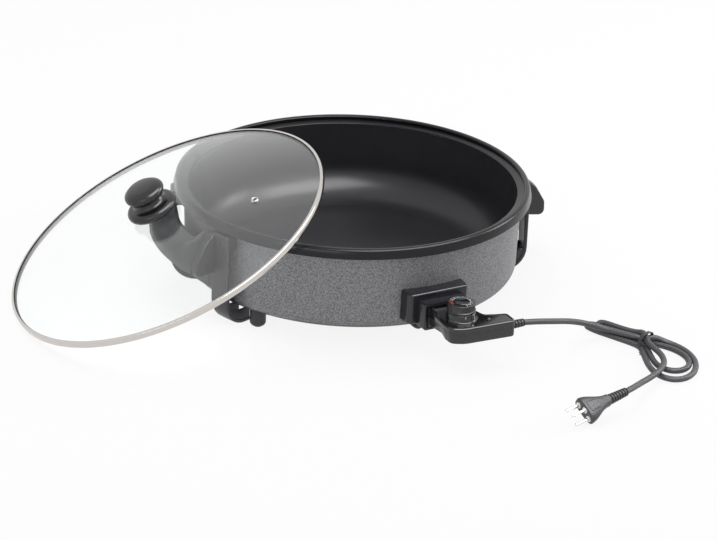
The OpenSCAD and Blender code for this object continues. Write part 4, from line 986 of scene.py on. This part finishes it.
lens_profile = np.concatenate([[(0.1, case_top - 3), (2.5, case_top - 3),
                                (2.5, case_top - 0.5)],
                               arc((0, case_top - 1.0), 2.75, 24, 88, 8)])
lens = finish("lamp_lens", (0.05, 0.018, 0.012), 0.12, grain=2, bump=0.02, wear=0.03)
piece("pilot_lens", [put(spin(lens_profile, 40), at=(27, -276, 0))], [lens], "control",
      ["pilot_lamp"])
white_ink = finish("white_ink", (0.72, 0.72, 0.73), 0.5, grain=0.5, bump=0.05)
worn_ink = finish("worn_ink", (0.36, 0.36, 0.37), 0.5, grain=0.5, bump=0.05)
mark = filleted([(-0.8, -3), (0.8, -3), (0.8, 0), (-0.8, 0)], [0.25] * 4, 4)
mark_y = -dial_r - 0.9   # from the dial's axis
mark_rings = np.stack([np.c_[mark[:, 0], np.full(len(mark), yy),
                             case_top + turret_h - 0.6 + mark[:, 1]]
                       for yy in (mark_y + 0.5, mark_y - 0.5)])
piece("index_line",
      [put(skin(mark_rings), turned(0, 0, np.radians(-12)), at_dial)],
      [worn_ink], "control", ["index_mark"])

# --- Dial ---------------------------------------------------------------------
# A black fluted dial pressed on the thermostat's shaft, with a printed scale
# round its top: a ring of white marks and a red stretch for the heat.
dial_low = case_top + turret_h + 0.3
turn = np.linspace(0, 2 * np.pi, 288, endpoint=False)
flute = 0.42 * (0.5 + 0.5 * np.cos(turn * 36)) ** 2
edge_a = np.linspace(0, np.pi / 2, 6)
dial_levels = np.concatenate([
    [(0.0, dial_low, 3.0), (0.0, dial_low, 0.6)],
    [(0.0, dial_low + 0.5, 0.0), (0.0, dial_low + 1.9, 0.0),
     (0.0, dial_low + 2.2, 0.5)],
    [(1.0, dial_low + 2.8, 0.9), (1.0, dial_top - 1.4, 1.0)],
    np.c_[np.linspace(1, 0, 6), dial_top - 1.2 * (1 - np.sin(edge_a)),
          1.1 + 1.2 * (1 - np.cos(edge_a))],
    [(0.0, dial_top, 2.7), (0.0, dial_top, 6.0), (0.0, dial_top - 0.5, 6.3),
     (0.0, dial_top - 0.5, 14.0)]])
radius = dial_r + 1.2 - dial_levels[:, 2:] - dial_levels[:, :1] * flute
dial_rings = np.stack([radius * np.cos(turn), radius * np.sin(turn),
                       dial_levels[:, 1:2] + 0 * turn], -1)
dial_plastic = finish("dial_plastic", (0.008, 0.008, 0.01), 0.28, grain=1.2, bump=0.08)
piece("dial_knob", [put(skin(dial_rings), at=at_dial)], [dial_plastic], "dial",
      ["temperature_dial"])
cap_top = dial_top + 0.9
piece("dial_centre",
      [put(spin([(0.2, dial_top - 1), (9.2, dial_top - 1), (9.4, cap_top - 0.5),
                 (9.0, cap_top - 0.1), (8.4, cap_top), (7.4, cap_top - 0.05),
                 (6.6, cap_top - 0.35), (0.2, cap_top - 0.4)], 96), at=at_dial)],
      [case_gloss], "dial", ["dial_cap"])


def ring_part(start, end, r0, r1, z0, z1, n=24):
    """A flat arc between two angles in degrees and two radii."""
    a = np.radians(np.linspace(start, end, n))
    section = np.array([(r0, z0), (r1, z0), (r1, z1), (r0, z1)])
    return skin(np.stack([section[None, :, 0] * np.cos(a)[:, None],
                          section[None, :, 0] * np.sin(a)[:, None],
                          section[None, :, 1] + 0 * a[:, None]], -1))


scale_z = (dial_top - 0.05, dial_top + 0.12)
white_parts = [ring_part(-95, 142, 10.2, 10.9, *scale_z, 60)]
white_parts += [ring_part(b - 1.8, b + 1.8, 11.6, 13.8, *scale_z, 4)
                for b in range(-90, 131, 24)]
white_parts += [ring_part(b - 0.9, b + 0.9, 12.6, 13.8, *scale_z, 4)
                for b in range(-78, 139, 24)]
piece("dial_print", [put(p, at=at_dial) for p in white_parts], [white_ink], "dial",
      ["dial_scale"])
red_ink = finish("red_ink", (0.3, 0.012, 0.02), 0.5, grain=0.5, bump=0.05)
piece("dial_heat_print",
      [put(ring_part(150, 190, 10.2, 13.7, *scale_z, 16), at=at_dial)], [red_ink],
      "dial")

# --- What shows only through a gap or with the control off --------------------
# Heater, terminals and fixings stay as the solids have them; most take the finish of
# their own metal, ceramic or board. The heater and probe well, heat-darkened, are made
# near black, and the steel guard bracket takes the guard's black phenolic: both painted
# shade under the pan.
bare_steel = finish("zinc_plated_steel", (0.55, 0.56, 0.57), 0.38, 1.0, grain=2.2,
                    bump=0.1, stretch=(1, 1, 4))
# Near black: the sheath's heat-darkened tone, deepened as painted shade under the pan.
heater_oxide_and_shade = finish("heater_oxide_and_shade", (0.03, 0.029, 0.028), 0.6, 0.3, grain=1.5)
brass = finish("brass", (0.62, 0.44, 0.18), 0.3, 1.0, grain=1.8, spread=0.08)
ceramic = finish("steatite", (0.72, 0.70, 0.63), 0.7, grain=0.6)
board = finish("phenolic_board", (0.13, 0.06, 0.03), 0.55, grain=0.8)
sleeving = finish("glass_sleeving", (0.55, 0.47, 0.33), 0.8, grain=0.4, bump=0.4)
for material, names in (
        # The steel bracket takes the guard's black as painted shade under the guard.
        (guard_plastic, "guard_bracket"),
        (bare_steel, "guard_screws handle_studs handle_screws foot_studs "
                     "knob_screw housing_screws thermostat_frame dial_shaft "
                     "probe_tube"),
        (heater_oxide_and_shade, "heating_element probe_well"),
        (bright_pin, "terminal_pins"), (ceramic, "pin_insulators"),
        (brass, "earth_contact contact_sleeves bimetal_strip"),
        (board, "contact_carrier"), (sleeving, "wire_leads"),
        (pad_rubber, "knob_washer")):
    for name in names.split():
        node_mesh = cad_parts[name].data
        node_mesh.materials.clear()
        node_mesh.materials.append(material)
